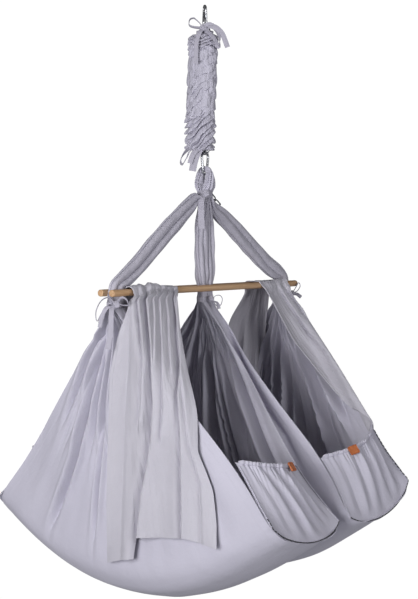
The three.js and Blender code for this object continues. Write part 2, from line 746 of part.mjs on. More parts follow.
function addTab(bed, parent) {
  const at = hemPoint(bed, -1, tabShare);
  const along = hemPoint(bed, -1, tabShare + hemEndShare).sub(at).normalize();
  const upward = pocketPoint(bed, -1, tabShare, 1).sub(pocketPoint(bed, -1, tabShare, 0.8)).normalize();
  const normal = along.clone().cross(upward).normalize();
  if (normal.y > 0) normal.negate();
  upward.crossVectors(normal, along).normalize();
  if (upward.z < 0) upward.negate();
  at.addScaledVector(normal, hemDiameter / 2 + tabThickness / 2 + 3 * clearance);
  at.addScaledVector(upward, (hemDiameter - tabHeight) / 2);
  const turn = new THREE.Matrix4().makeBasis(upward.clone().cross(normal), upward, normal);
  const plate = new THREE.BoxGeometry(tabWidth, tabHeight, tabThickness);
  const mesh = piece(sideName(bed, 'tab'), plate, leather, parent);
  mesh.position.copy(at);
  mesh.quaternion.setFromRotationMatrix(turn);
}

// Mattress: a soft slab with a crown and rounded edges, bent to the base that it lies on.
const mattressLiftShare = 1.6;
const mattressEdgeShare = 0.3;
const mattressInsetShare = 0.12;

function mattress(bed) {
  const rings = [];
  const steps = 12;
  const columns = 8;
  const bedWidth = bedOuter - bedInner;
  const lift = clothThickness * mattressLiftShare;
  for (let i = 0; i <= steps; i += 1) {
    const along = mix(-1, 1, i / steps);
    const across = (along * mattressLength) / 2 / bedHalfLength;
    const thickness = mattressThickness * (1 - mattressEdgeShare * Math.abs(along) ** 8);
    const ring = [];
    for (const top of [false, true]) {
      for (let j = 0; j <= columns; j += 1) {
        const k = top ? 1 - j / columns : j / columns;
        const isEdge = j === 0 || j === columns;
        const inset = isEdge ? mattressThickness * mattressInsetShare : 0;
        const u = 0.5 + ((k - 0.5) * (mattressWidth - 2 * inset)) / bedWidth;
        const point = basePoint(bed, u, across);
        point.y = (along * mattressLength) / 2;
        const edge = isEdge ? mattressEdgeShare : 0;
        const height = top ? (1 - edge) * thickness + mattressCrown * hump(k) : edge * thickness;
        point.z += lift + height;
        ring.push(point);
      }
    }
    rings.push(ring);
  }
  return skin(rings);
}

// Veils: a loose cloth over both rods. Its front half is thrown over the foot-side edge of the outer
// side and hangs outside the sling, and its shorter rear half hangs inside.
const veilRodRadius = (rodDiameter / 2 + clearance + clothThickness / 2) / Math.cos(Math.PI / 12);
const veilOuterX = gatherReach - gatherWidth / 2 - clothThickness;
const rodY = (rodGap + rodDiameter) / 2;

// The shares place the turning points: down the outside, over the hem, and down the rear half.
const veilHangShares = [0, 0.2, 0.4, 0.6, 0.8];
const veilOverShares = [0.3, 0.65];
const veilTailShares = [0.12, 0.4, 0.7, 1];
const veilHemStartShare = 0.1;
const veilForwardShare = 0.68;
const rodAngles = [90, 60, 30, 0].map(THREE.MathUtils.degToRad);

function overRod(x, y, angle) {
  return vec(x, y - Math.sin(angle) * veilRodRadius, Math.cos(angle) * veilRodRadius);
}

function veilColumn(side, innerX, hemEnd, u) {
  const x = side * mix(veilOuterX, innerX, u);
  const wave = Math.sin(u * 6 * Math.PI);
  const crossing = fanPoint(side, true, -1, mix(veilHemStartShare, hemEnd, u));
  const reachOut = vec(side * veilStandoff, -veilStandoff * veilOverShares[0], 0);
  const over = crossing.clone().add(vec(0, -clothThickness * 3.5, clothThickness * 2.5));
  const shoulder = crossing.clone().add(reachOut).add(vec(0, 0, -veilStandoff));
  const forward = mix(veilStandoff, -bedHalfLength * veilForwardShare, u);
  const foot = vec(shoulder.x + side * veilFold, forward, -veilDrop);
  foot.z += veilStandoff * smooth(Math.min(1, u * 3));
  foot.x += side * wave * veilFold;
  const points = [];
  for (const share of veilHangShares) {
    const point = foot.clone().lerp(shoulder, share);
    point.x += side * wave * veilFold * hump(share) * 0.8;
    points.push(point);
  }
  const front = overRod(x, -rodY, Math.PI / 2);
  points.push(shoulder, over);
  for (const share of veilOverShares) {
    const point = over.clone().lerp(front, share);
    point.z -= veilFold * hump(share) * (1 + 0.5 * wave);
    points.push(point);
  }
  for (const angle of rodAngles) points.push(overRod(x, -rodY, angle));
  for (const angle of rodAngles.toReversed()) points.push(overRod(x, rodY, -angle));
  const back = overRod(x, rodY, -Math.PI / 2);
  const tail = vec(x + side * veilFold * wave, back.y + veilStandoff, -veilRearDrop);
  for (const share of veilTailShares) {
    const point = back.clone().lerp(tail, share);
    point.y += wave * veilFold * share;
    points.push(point);
  }
  return points;
}

function veil(side, innerX, hemEnd) {
  const columns = 11;
  const lines = Array.from({ length: columns + 1 }, (_, j) => veilColumn(side, innerX, hemEnd, j / columns));
  const grid = lines[0].map((_, i) => lines.map((line) => line[i]));
  return sheet(grid, () => clothThickness);
}

function sideName(bed, name) {
  return `${bed < 0 ? 'left' : 'right'}_${name}`;
}

const hangingGear = new THREE.Group();
const topHook = new THREE.Group();
topHook.rotation.set(Math.PI, 0, -THREE.MathUtils.degToRad(topHookTurn));
topHook.position.z = -narrowInside;
addHook('top', topHook);
const lowHook = new THREE.Group();
lowHook.position.z = lowHookNarrowCentre;
addHook('lower', lowHook);
hangingGear.add(topHook, lowHook);

const springPoints = springWirePath();
console.log(`least gap between the spring's turns: ${leastCoilGap(springPoints).toFixed(2)} mm`);
piece('spring', tube(springPoints, springWire, springPoints.length, 5), springSteel, hangingGear);
const sleeve = sheet(gridOf(coverSurface, 14, 21, true), () => coverWall, true);
piece('spring_cover', sleeve, slingCloth, hangingGear);
const coverBand = coverNeckRadius + coverWall / 2 + clearance;
const topTieZ = topEyeCentre - ribbonWidth / 2;
const lowTieZ = lowEyeCentre + ribbonWidth / 2;
const bothBows = [leftBowShares, rightBowShares];
const topTie = tie(coverBand, coverBand, topTieZ, cameraSide, bothBows, [overCoverTailShares]);
piece('cover_top_tie', topTie, ribbonCloth, hangingGear);
const lowTie = tie(coverBand, coverBand, lowTieZ, cameraSide, [leftBowShares], [shortTailShares]);
piece('cover_bottom_tie', lowTie, ribbonCloth, hangingGear);

const cradle = new THREE.Group();
cradle.position.z = lowHookBearing - loopTop;

const linkPitch = linkLength - 2 * linkWire - clearance;
const tilt = THREE.MathUtils.degToRad(linkTilt);
const chainReach = ((linkLength - linkWidth) / 2) * Math.cos(tilt) + linkWidth / 2;
const chain = new THREE.Group();
chain.position.x = bundleWidth / 2 + ribbonThickness + 2 * clearance + chainReach;
chain.position.z = apexHeight - linkWidth / 2;
chain.rotation.y = tilt;
chain.updateMatrix();
piece('upper_link', link().rotateX(Math.PI / 2), steel, chain);
piece('lower_link', link().translate(linkPitch, 0, 0), steel, chain);
cradle.add(chain);
const endWire = (linkLength - linkWire) / 2;
const [xWay, yWay, zWay] = [vec(1, 0, 0), vec(0, 1, 0), vec(0, 0, 1)];
const upperStrap = strap(vec(-endWire, 0, 0), xWay, yWay, chainReach / 3).applyMatrix4(chain.matrix);
const lowerStrap = strap(vec(linkPitch + endWire, 0, 0), zWay, xWay, strapLength).applyMatrix4(chain.matrix);

piece('hanging_loop', hangingLoop(), slingCloth, cradle);
const apexHalfX = bundleWidth / 2 + clearance;
const apexHalfY = bundleDepth / 2 + clearance;
const apexTie = join([tie(apexHalfX, apexHalfY, apexHeight, cameraSide, [], [longTailShares]), upperStrap]);
piece('apex_tie', fromManifold(apexTie), ribbonCloth, cradle);
piece('left_outer_arm', outerArm(-1, -leftArmRise), slingCloth, cradle);
piece('left_inner_arm', innerArm(-1), slingCloth, cradle);
piece('right_inner_arm', innerArm(1), slingCloth, cradle);
piece('right_outer_arm', fromManifold(join([outerArm(1, rightArmDrop), lowerStrap])), slingCloth, cradle);

for (const [name, side] of [['front_rod', -1], ['rear_rod', 1]]) {
  piece(name, rod(), wood, cradle).position.y = side * rodY;
}

const tieZ = -neckDrop + ribbonWidth * crossTieShare;
const neckHalfX = gatherWidth / 2 + clearance;
const neckHalfY = neckHalfDepth + clearance;
const quarter = Math.PI / 2;
const leftRodTie = tie(neckHalfX, neckHalfY, tieZ, -quarter, [rightBowShares], [longTailShares]);
piece('left_rod_tie', leftRodTie, ribbonCloth, cradle).position.x = -gatherReach;
const centreRodTie = tie(neckHalfX, neckHalfY, tieZ, 0, [rightBowShares], []);
piece('centre_rod_tie', centreRodTie, ribbonCloth, cradle);
const rightRodTie = tie(neckHalfX, neckHalfY, tieZ, quarter, [leftBowShares], [shortTailShares]);
piece('right_rod_tie', rightRodTie, ribbonCloth, cradle).position.x = gatherReach;

for (const bed of [-1, 1]) {
  piece(sideName(bed, 'outer_side'), slingSide(bed, true), slingCloth, cradle);
  piece(sideName(bed, 'inner_side'), slingSide(bed, false), slingCloth, cradle);
  piece(sideName(bed, 'base'), slingBase(bed), slingCloth, cradle);
  for (const [end, endName] of [[-1, 'foot'], [1, 'head']]) {
    piece(sideName(bed, `${endName}_pocket`), pocket(bed, end), slingCloth, cradle);
    piece(sideName(bed, `${endName}_hem`), hem(bed, end), slingCloth, cradle);
  }
  addTab(bed, cradle);
  piece(sideName(bed, 'mattress'), mattress(bed), mattressCloth, cradle);
}
piece('left_veil', veil(-1, veilLeftInner, leftVeilShare), veilCloth, cradle);
piece('right_veil', veil(1, veilRightInner, rightVeilShare), veilCloth, cradle);

const wholeObject = new THREE.Group();
wholeObject.add(hangingGear, cradle);

export default wholeObject;
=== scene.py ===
import math

import bpy
import numpy as np
from mathutils import Matrix, Vector


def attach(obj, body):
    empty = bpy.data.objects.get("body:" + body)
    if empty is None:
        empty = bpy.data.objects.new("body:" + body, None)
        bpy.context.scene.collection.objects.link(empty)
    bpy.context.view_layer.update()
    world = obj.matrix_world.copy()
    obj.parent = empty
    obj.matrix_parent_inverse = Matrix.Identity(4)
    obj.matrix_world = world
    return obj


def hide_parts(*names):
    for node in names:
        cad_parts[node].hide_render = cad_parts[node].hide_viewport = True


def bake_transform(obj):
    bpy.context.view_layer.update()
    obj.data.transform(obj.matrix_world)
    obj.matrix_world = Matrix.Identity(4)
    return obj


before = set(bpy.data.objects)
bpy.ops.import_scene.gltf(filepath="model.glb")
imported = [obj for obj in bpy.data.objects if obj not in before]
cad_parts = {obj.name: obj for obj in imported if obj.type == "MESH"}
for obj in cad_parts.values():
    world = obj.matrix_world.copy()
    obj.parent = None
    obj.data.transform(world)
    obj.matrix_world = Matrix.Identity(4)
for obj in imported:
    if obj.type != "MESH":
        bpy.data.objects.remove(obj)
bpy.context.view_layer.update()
bpy.ops.object.select_all(action="DESELECT")

# Camera and studio: a long lens about 4.2 m away, 55 degrees round from the foot end towards the
# left. White sweep and white surroundings, with the main light from the left and a weaker one from
# the foot end.
EYE = Vector((-3.4446, -2.4030, -0.5129))
HEADING = Vector((0.819, 0.572, -0.0454))
LENS = 104.27
FRAME_SHIFT = 0.0084
FLOOR_LEVEL = -1.95
FLOOR_GLOW = 0.28
ROOM_GLOW = 0.095
SEEN_WHITE = ((1, 1, 1, 1), 1.02)
COOL_WHITE = (0.93, 0.94, 1.0, 1)

bpy.ops.object.camera_add(location=EYE, rotation=HEADING.to_track_quat("-Z", "Y").to_euler())
camera = bpy.context.object
camera.data.lens = LENS
camera.data.shift_x = FRAME_SHIFT
camera.data.clip_end = 60
bpy.context.scene.camera = camera


def white_for_camera(tree, kind, output, glow):
    """Plain white where the camera sees it, and a weaker, slightly blue glow for the light it gives."""
    lit, shown = tree.nodes.new(kind), tree.nodes.new(kind)
    for node, colour, strength in ((lit, COOL_WHITE, glow), (shown, *SEEN_WHITE)):
        node.inputs["Color"].default_value = colour
        node.inputs["Strength"].default_value = strength
    ray = tree.nodes.new("ShaderNodeLightPath")
    either = tree.nodes.new("ShaderNodeMixShader")
    tree.links.new(ray.outputs["Is Camera Ray"], either.inputs[0])
    tree.links.new(lit.outputs[0], either.inputs[1])
    tree.links.new(shown.outputs[0], either.inputs[2])
    tree.links.new(either.outputs[0], tree.nodes[output].inputs["Surface"])


bpy.ops.mesh.primitive_plane_add(size=40, location=(0, 0, FLOOR_LEVEL))
floor = bpy.context.object
floor.name = "studio_floor"
paper = bpy.data.materials.new("studio_paper")
paper.use_nodes = True
white_for_camera(paper.node_tree, "ShaderNodeEmission", "Material Output", FLOOR_GLOW)
floor.data.materials.append(paper)

world = bpy.data.worlds.new("studio_white")
bpy.context.scene.world = world
world.use_nodes = True
white_for_camera(world.node_tree, "ShaderNodeBackground", "World Output", ROOM_GLOW)

# The main light, the one from the foot end and a faint one from above: place, aim, size and watts
for place, aim, size, power in (
    ((-3.45, -0.7, -0.55), (0, 0, -0.8), 1.4, 96),
    ((-0.4, -4.1, -0.5), (0, 0, -0.9), 1.5, 50),
    ((-1.5, -0.6, 2.2), (0, 0, -0.6), 1.4, 8),
):
    way = Vector(aim) - Vector(place)
    bpy.ops.object.light_add(type="AREA", location=place, rotation=way.to_track_quat("-Z", "Y").to_euler())
    lamp = bpy.context.object
    lamp.data.size = size
    lamp.data.energy = power

bpy.context.scene.view_settings.view_transform = "Standard"


# Steel snap hooks: an egg of bright 6 mm wire with a spring gate on a rivet. The upper one hangs
# from the ceiling with its wide bow down, the lower one from the spring with its wide bow up.
class Signal:
    """A socket in a node tree. Arithmetic on it adds Math nodes."""

    def __init__(self, tree, socket=None):
        self.tree, self.socket = tree, socket

    def add(self, kind, settings=None, sockets=None, output=0):
        node = self.tree.nodes.new(kind)
        for name, value in (settings or {}).items():
            if name == "stops":
                stops = node.color_ramp.elements
                for index, (place, colour) in enumerate(value):
                    stop = stops[index] if index < len(stops) else stops.new(place)
                    stop.position, stop.color = place, (*colour, 1)
            else:
                setattr(node, name, value)
        for name, value in (sockets or {}).items():
            if isinstance(value, Signal):
                self.tree.links.new(value.socket, node.inputs[name])
            else:
                node.inputs[name].default_value = value
        return Signal(self.tree, node.outputs[output])

    def math(self, operation, *others):
        places = dict(enumerate(others))
        return self.add("ShaderNodeMath", {"operation": operation}, places)

    def __add__(self, other):
        return self.math("ADD", self, other)

    def __sub__(self, other):
        return self.math("SUBTRACT", self, other)

    def __rsub__(self, other):
        return self.math("SUBTRACT", other, self)

    def __mul__(self, other):
        return self.math("MULTIPLY", self, other)

    def sine(self):
        return self.math("SINE", self)

    def band(self, low, high):
        sockets = {"Value": self, "From Min": low, "From Max": high}
        return self.add("ShaderNodeMapRange", {"interpolation_type": "SMOOTHSTEP"}, sockets)

    def tint(self, low, high):
        settings = {"data_type": "RGBA"}
        ends = [value if isinstance(value, Signal) else (*value, 1) for value in (low, high)]
        return self.add("ShaderNodeMix", settings, {0: self, 6: ends[0], 7: ends[1]}, 2)

    def noise(self, vector, scale, detail=2, roughness=0.5):
        sockets = {"Vector": vector, "Scale": scale, "Detail": detail, "Roughness": roughness}
        return self.add("ShaderNodeTexNoise", {}, sockets)

    def stretched(self, vector, x, y, z):
        sockets = {0: vector, 1: (x, y, z)}
        return self.add("ShaderNodeVectorMath", {"operation": "MULTIPLY"}, sockets)

    def split(self, vector, axis):
        return self.add("ShaderNodeSeparateXYZ", {}, {0: vector}, axis)

    def bump(self, height, distance, strength=1.0, before=None):
        sockets = {"Height": height, "Distance": distance, "Strength": strength}
        if before:
            sockets["Normal"] = before
        return self.add("ShaderNodeBump", {}, sockets)


def finish(name, varied, **constants):
    """Makes a material: varied gets the tree's Signal and gives what changes over the surface."""
    material = bpy.data.materials.new(name)
    material.use_nodes = True
    shader = material.node_tree.nodes["Principled BSDF"]
    for socket, value in constants.items():
        shader.inputs[socket.replace("_", " ")].default_value = value
    for socket, signal in varied(Signal(material.node_tree)).items():
        material.node_tree.links.new(signal.socket, shader.inputs[socket])
    return material


def bright_steel_grain(s):
    place = s.add("ShaderNodeTexCoord", output=3)
    scratch = s.noise(s.stretched(place, 900, 900, 160), 1, 4)
    smudge = s.noise(place, 90, 3)
    return {
        "Base Color": smudge.band(0.3, 0.8).tint((0.36, 0.37, 0.39), (0.52, 0.52, 0.54)),
        "Roughness": scratch * 0.14 + smudge * 0.12 + 0.16,
        "Normal": s.bump(scratch, 0.00004, 0.5),
    }


bright_steel = finish("bright_steel", bright_steel_grain, Metallic=1.0)

MM = 0.001
CLEARANCE = 0.3
HOOK_WIRE = 6
HOOK_LENGTH = 60
HOOK_WIDE = 32
HOOK_NARROW = 22
HOOK_PIN = 2
HOOK_TONGUE = 2
TONGUE_EDGE = 0.3
RIVET_EDGE = 0.25
LATCH_GAP = 0.6
TOP_HOOK_TURN = math.radians(20)

narrow_radius = (HOOK_NARROW - HOOK_WIRE) / 2
wide_radius = (HOOK_WIDE - HOOK_WIRE) / 2
hook_span = HOOK_LENGTH - HOOK_WIRE - narrow_radius - wide_radius
hook_lean = math.asin((wide_radius - narrow_radius) / hook_span)
narrow_inside = narrow_radius - HOOK_WIRE / 2
wide_inside = wide_radius - HOOK_WIRE / 2
gate_side = Vector((-math.cos(hook_lean), 0, -math.sin(hook_lean)))
gate_foot = gate_side * narrow_radius
gate_head = gate_side * wide_radius + Vector((0, 0, hook_span))
gate_way = (gate_head - gate_foot).normalized()
gate_pin = gate_foot + gate_way * (HOOK_WIRE / 2 + CLEARANCE)
gate_reach = (gate_head - gate_pin).length - LATCH_GAP
gate_turn = Vector((0, 0, 1)).rotation_difference(gate_way).to_euler()


def settle(piece, name, place=None):
    """Puts a modelled piece's place into its mesh and names it."""
    bpy.ops.object.transform_apply(location=True, rotation=True, scale=True)
    if place:
        piece.data.transform(place)
    piece.name = piece.data.name = name
    bpy.ops.object.select_all(action="DESELECT")
    return piece


def hook_wire(name, place):
    """Spins and extrudes a round section into the egg, and adds the tongue that carries the gate."""
    start = gate_head * MM
    bpy.ops.mesh.primitive_circle_add(
        vertices=20, radius=HOOK_WIRE / 2 * MM, location=start, rotation=gate_turn)
    wire = bpy.context.object
    bpy.ops.object.mode_set(mode="EDIT")
    bpy.ops.mesh.select_all(action="SELECT")
    wide_centre = Vector((0, 0, hook_span * MM))
    bpy.ops.mesh.spin(
        steps=28, angle=-(math.pi + 2 * hook_lean), center=wide_centre, axis=(0, 1, 0))
    run = (gate_head - gate_foot).length * MM
    slope = Vector((-gate_way.x, 0, gate_way.z)) * -run
    bpy.ops.mesh.extrude_region_move(TRANSFORM_OT_translate={"value": slope})
    bpy.ops.mesh.spin(
        steps=22, angle=-(math.pi - 2 * hook_lean), center=(0, 0, 0), axis=(0, 1, 0))
    bpy.ops.mesh.select_all(action="DESELECT")
    bpy.ops.mesh.select_non_manifold()
    bpy.ops.mesh.edge_face_add()
    bpy.ops.mesh.select_all(action="SELECT")
    bpy.ops.mesh.remove_doubles(threshold=0.00001)
    bpy.ops.mesh.normals_make_consistent(inside=False)
    bpy.ops.object.mode_set(mode="OBJECT")
    bpy.ops.mesh.primitive_cylinder_add(
        vertices=20, radius=(HOOK_WIRE / 2 - 2 * CLEARANCE) * MM, depth=HOOK_TONGUE * MM,
        location=gate_pin * MM, rotation=(math.pi / 2, 0, 0))
    bpy.ops.object.mode_set(mode="EDIT")
    bpy.ops.mesh.bevel(offset=TONGUE_EDGE * MM, segments=2)
    bpy.ops.object.mode_set(mode="OBJECT")
    wire.select_set(True)
    bpy.context.view_layer.objects.active = wire
    bpy.ops.object.join()
    bpy.ops.object.shade_smooth_by_angle(angle=0.7)
    wire.data.materials.append(bright_steel)
    return settle(wire, name, place)


def hook_gate(name, place):
    """A round bar with a ball foot, slotted over the tongue."""
    middle = (gate_pin + gate_way * gate_reach / 2) * MM
    bpy.ops.mesh.primitive_cylinder_add(
        vertices=24, radius=HOOK_WIRE / 2 * MM, depth=gate_reach * MM, location=middle, rotation=gate_turn)
    bar = bpy.context.object
    bpy.ops.mesh.primitive_uv_sphere_add(
        segments=24, ring_count=12, radius=HOOK_WIRE / 2 * MM, location=gate_pin * MM, rotation=gate_turn)
    ball = bpy.context.object
    slot_height = HOOK_WIRE * 2 * MM
    bpy.ops.mesh.primitive_cube_add(size=1, location=gate_pin * MM, rotation=gate_turn)
    cutter = bpy.context.object
    cutter.scale = (2 * HOOK_WIRE * MM, (HOOK_TONGUE + 2 * CLEARANCE) * MM, slot_height)
    for operation, other in (("UNION", ball), ("DIFFERENCE", cutter)):
        step = bar.modifiers.new(operation, "BOOLEAN")
        step.operation, step.object, step.solver = operation, other, "EXACT"
        bpy.context.view_layer.objects.active = bar
        bpy.ops.object.modifier_apply(modifier=step.name)
        bpy.data.objects.remove(other)
    bpy.ops.object.select_all(action="DESELECT")
    bar.select_set(True)
    bpy.context.view_layer.objects.active = bar
    bpy.ops.object.shade_smooth_by_angle(angle=0.6)
    bar.data.materials.append(bright_steel)
    return settle(bar, name, place)


def hook_rivet(name, place):
    """The rivet through the gate, with its two low heads."""
    bpy.ops.mesh.primitive_cylinder_add(
        vertices=20, radius=HOOK_PIN / 2 * MM, depth=(HOOK_WIRE - 2 * CLEARANCE) * MM,
        location=gate_pin * MM, rotation=(math.pi / 2, 0, 0))
    rivet = bpy.context.object
    bpy.ops.object.mode_set(mode="EDIT")
    bpy.ops.mesh.bevel(offset=RIVET_EDGE * MM, segments=3)
    bpy.ops.object.mode_set(mode="OBJECT")
    bpy.ops.object.shade_smooth_by_angle(angle=0.7)
    rivet.data.materials.append(bright_steel)
    return settle(rivet, name, place)


EYE_DIAMETER = 28
SPRING_WIRE = 4
eye_radius = (EYE_DIAMETER - SPRING_WIRE) / 2
top_bearing = -(narrow_inside + hook_span + wide_inside)
eye_seat = wide_inside - math.sqrt(wide_inside**2 - (SPRING_WIRE / 2) ** 2) + 2 * CLEARANCE
SPRING_LENGTH = 252
top_eye = top_bearing + eye_seat + SPRING_WIRE / 2 - eye_radius
spring_top = top_eye - eye_radius - SPRING_WIRE
spring_foot = spring_top - SPRING_LENGTH
low_eye = spring_foot - eye_radius - SPRING_WIRE
low_hook_top = low_eye - eye_radius + SPRING_WIRE / 2 + eye_seat + HOOK_WIRE
low_hook_narrow = low_hook_top - HOOK_WIRE / 2 - wide_radius - hook_span
low_bearing = low_hook_narrow - narrow_inside

flip = Matrix.Rotation(math.pi, 4, "X") @ Matrix.Rotation(-TOP_HOOK_TURN, 4, "Z")
for level, place in (
    ("top", Matrix.Translation((0, 0, -narrow_inside * MM)) @ flip),
    ("lower", Matrix.Translation((0, 0, low_hook_narrow * MM))),
):
    body = f"{level}_hook_body"
    for maker, node, rides in (
        (hook_wire, f"{level}_hook", body),
        (hook_gate, f"{level}_hook_gate", f"{level}_gate"),
        (hook_rivet, f"{level}_hook_pin", body),
    ):
        metal = maker(f"{node}_steel", place)
        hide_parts(node)
        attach(metal, rides)


# Extension spring: one length of 4 mm oil-tempered wire, coiled open, with its ends turned up into
# eyes that hang in the hooks.
SPRING_DIAMETER = 28
SPRING_TURNS = 15
EYE_OPEN_SHARE = 0.3
EYE_POINTS = 40
COIL_POINTS = 36
SPRING_STEP = 1.8
SPRING_SIDES = 12


def dark_steel_grain(s):
    place = s.add("ShaderNodeTexCoord", output=3)
    oil = s.noise(place, 60, 4)
    return {
        "Base Color": oil.band(0.3, 0.7).tint((0.30, 0.30, 0.32), (0.48, 0.48, 0.50)),
        "Roughness": oil * 0.3 + 0.2,
        "Normal": s.bump(s.noise(place, 1400, 2), 0.00005, 0.4),
    }


dark_steel = finish("dark_steel", dark_steel_grain, Metallic=1.0)


def mesh_piece(name, points, faces, material, uv=None):
    """Writes points in millimetres and faces as one smooth piece."""
    mesh = bpy.data.meshes.new(name)
    mesh.from_pydata((np.asarray(points) * MM).tolist(), [], faces)
    if uv is not None:
        layer = mesh.uv_layers.new(name="cloth")
        corners = np.zeros(len(mesh.loops), dtype=np.int32)
        mesh.loops.foreach_get("vertex_index", corners)
        layer.data.foreach_set("uv", np.asarray(uv, dtype=np.float32)[corners].ravel())
    mesh.materials.append(material)
    piece = bpy.data.objects.new(name, mesh)
    bpy.context.scene.collection.objects.link(piece)
    bpy.context.view_layer.objects.active = piece
    piece.select_set(True)
    bpy.ops.object.shade_smooth_by_angle(angle=1.1)
    piece.select_set(False)
    return piece


def unit(vectors):
    return vectors / np.maximum(np.linalg.norm(vectors, axis=-1, keepdims=True), 1e-9)


def wire_along(points, radius, sides):
    """Gives a round wire's corners and faces along points, with both ends closed."""
    points = np.asarray(points, float)
    ways = unit(np.gradient(points, axis=0))
    side = unit(np.cross(ways[0], (0.31, 0.87, 0.39)))
    rings = []
    for point, way in zip(points, ways):
        side = unit(side - way * side.dot(way))
        other = np.cross(way, side)
        turn = np.arange(sides)[:, None] * 2 * math.pi / sides
        rings.append(point + radius * (np.cos(turn) * side + np.sin(turn) * other))
    faces = []
    for i in range(len(points) - 1):
        for j in range(sides):
            a, b = i * sides + j, i * sides + (j + 1) % sides
            faces.append((a, b, b + sides, a + sides))
    last = (len(points) - 1) * sides
    faces.append(tuple(reversed(range(sides))))
    faces.append(tuple(range(last, last + sides)))
    return np.concatenate(rings), faces


def eye_points(centre, turn, up):
    open_angle = math.pi * EYE_OPEN_SHARE
    angle = up * np.linspace(open_angle - math.pi / 2, 1.5 * math.pi - open_angle, EYE_POINTS)
    reach = np.cos(angle) * eye_radius
    return np.stack([reach * math.cos(turn), reach * math.sin(turn), centre + np.sin(angle) * eye_radius], 1)


top_turn = TOP_HOOK_TURN + math.pi / 2
coil_radius = (SPRING_DIAMETER - SPRING_WIRE) / 2
coil_steps = np.linspace(0, 1, SPRING_TURNS * COIL_POINTS)
coil_angle = top_turn + math.pi + (2 * math.pi * SPRING_TURNS + math.pi / 2 - top_turn) * coil_steps
coil = np.stack([
    np.cos(coil_angle) * coil_radius,
    np.sin(coil_angle) * coil_radius,
    spring_top - SPRING_LENGTH * coil_steps,
], 1)
low_eye_points = eye_points(low_eye, math.pi / 2, -1)[::-1]
rough_path = np.concatenate([eye_points(top_eye, top_turn, 1), coil, low_eye_points])


def evenly(points, step):
    """Spaces points evenly along the line through them."""
    lengths = np.concatenate([[0], np.cumsum(np.linalg.norm(np.diff(points, axis=0), axis=1))])
    marks = np.linspace(0, lengths[-1], max(2, int(lengths[-1] / step)))
    return np.stack([np.interp(marks, lengths, points[:, k]) for k in range(3)], 1)


spring_path = evenly(rough_path, SPRING_STEP)
kernel = np.array([1, 2, 3, 2, 1]) / 9
for k in range(3):
    spring_path[2:-2, k] = np.convolve(spring_path[:, k], kernel, mode="valid")
spring = mesh_piece("spring_wire", *wire_along(spring_path, SPRING_WIRE / 2, SPRING_SIDES), dark_steel)
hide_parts("spring")
spring_top * MM
spring_foot * MM
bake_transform(spring)


# Spring cover: a sleeve of the sling's cotton, longer than the spring and pushed together on it,
# so it lies in tight ruches at both ends and in slack diagonal creases between.
THREAD_PITCH = 0.0007


def cotton(name, dark, light, crumple_scale=11, crumple_depth=0.007):
    """Plain weave with slubs, soft crumples and a slightly uneven dye."""
    def woven(s):
        place = s.add("ShaderNodeTexCoord", output=2)
        uneven = s.noise(place, 260, 1) * 0.0016
        along, across = s.split(place, 1) + uneven, s.split(place, 0) - uneven
        thread = 2 * math.pi / THREAD_PITCH
        weave = (along * thread).sine() * (across * thread).sine()
        slub = s.noise(s.stretched(place, 900, 24, 1), 1, 2) + s.noise(s.stretched(place, 24, 900, 1), 1, 2)
        crumple = s.noise(place, crumple_scale, 4, 0.55)
        dye = s.noise(place, 3.5, 3)
        tone = (dye * 0.55 + slub * 0.22 + crumple * 0.1).band(0.25, 0.85)
        threads = s.bump(weave * 0.25 + slub * 0.8, 0.0001, 0.5)
        return {
            "Base Color": tone.tint(dark, light),
            "Roughness": slub * 0.06 + 0.84,
            "Normal": s.bump(crumple, crumple_depth, 0.6, before=threads),
        }
    return finish(name, woven, Sheen_Weight=0.12, Sheen_Roughness=0.5, Specular_IOR_Level=0.2)


sling_cotton = cotton("sling_cotton", (0.485, 0.470, 0.555), (0.575, 0.558, 0.650))
cover_cotton = cotton("cover_cotton", (0.455, 0.440, 0.525), (0.555, 0.538, 0.630), 30, 0.012)
# The arms get a darker copy of the same cotton: painted shade for the shadow in their deep, tight folds.
arm_cotton_painted_shade = cotton("arm_cotton_painted_shade", (0.405, 0.391, 0.460), (0.500, 0.483, 0.560), 26, 0.008)

COVER_CLOTH = 1.0
COVER_TOP = top_eye
COVER_FOOT = low_eye
COVER_LEAN = np.array([-5.5, 8.0, 0])
COVER_TOP_SHIFT = np.array([-2.0, 2.8, 0])


def mix(a, b, t):
    return a + (b - a) * t


def smooth(t):
    t = np.clip(t, 0, 1)
    return t * t * (3 - 2 * t)


def hump(t):
    return 4 * t * (1 - t)


def wander(seed, x, y=0.0, waves=5):
    """Smooth, seeded unevenness between about -1 and 1."""
    chance = np.random.default_rng(seed)
    total = 0.0
    for _ in range(waves):
        turn, start = chance.uniform(0, 2 * math.pi), chance.uniform(0, 2 * math.pi)
        pace = chance.uniform(0.6, 1.4)
        total = total + np.sin(pace * (x * math.cos(turn) + y * math.sin(turn)) * 2 * math.pi + start)
    return total / waves * 1.6


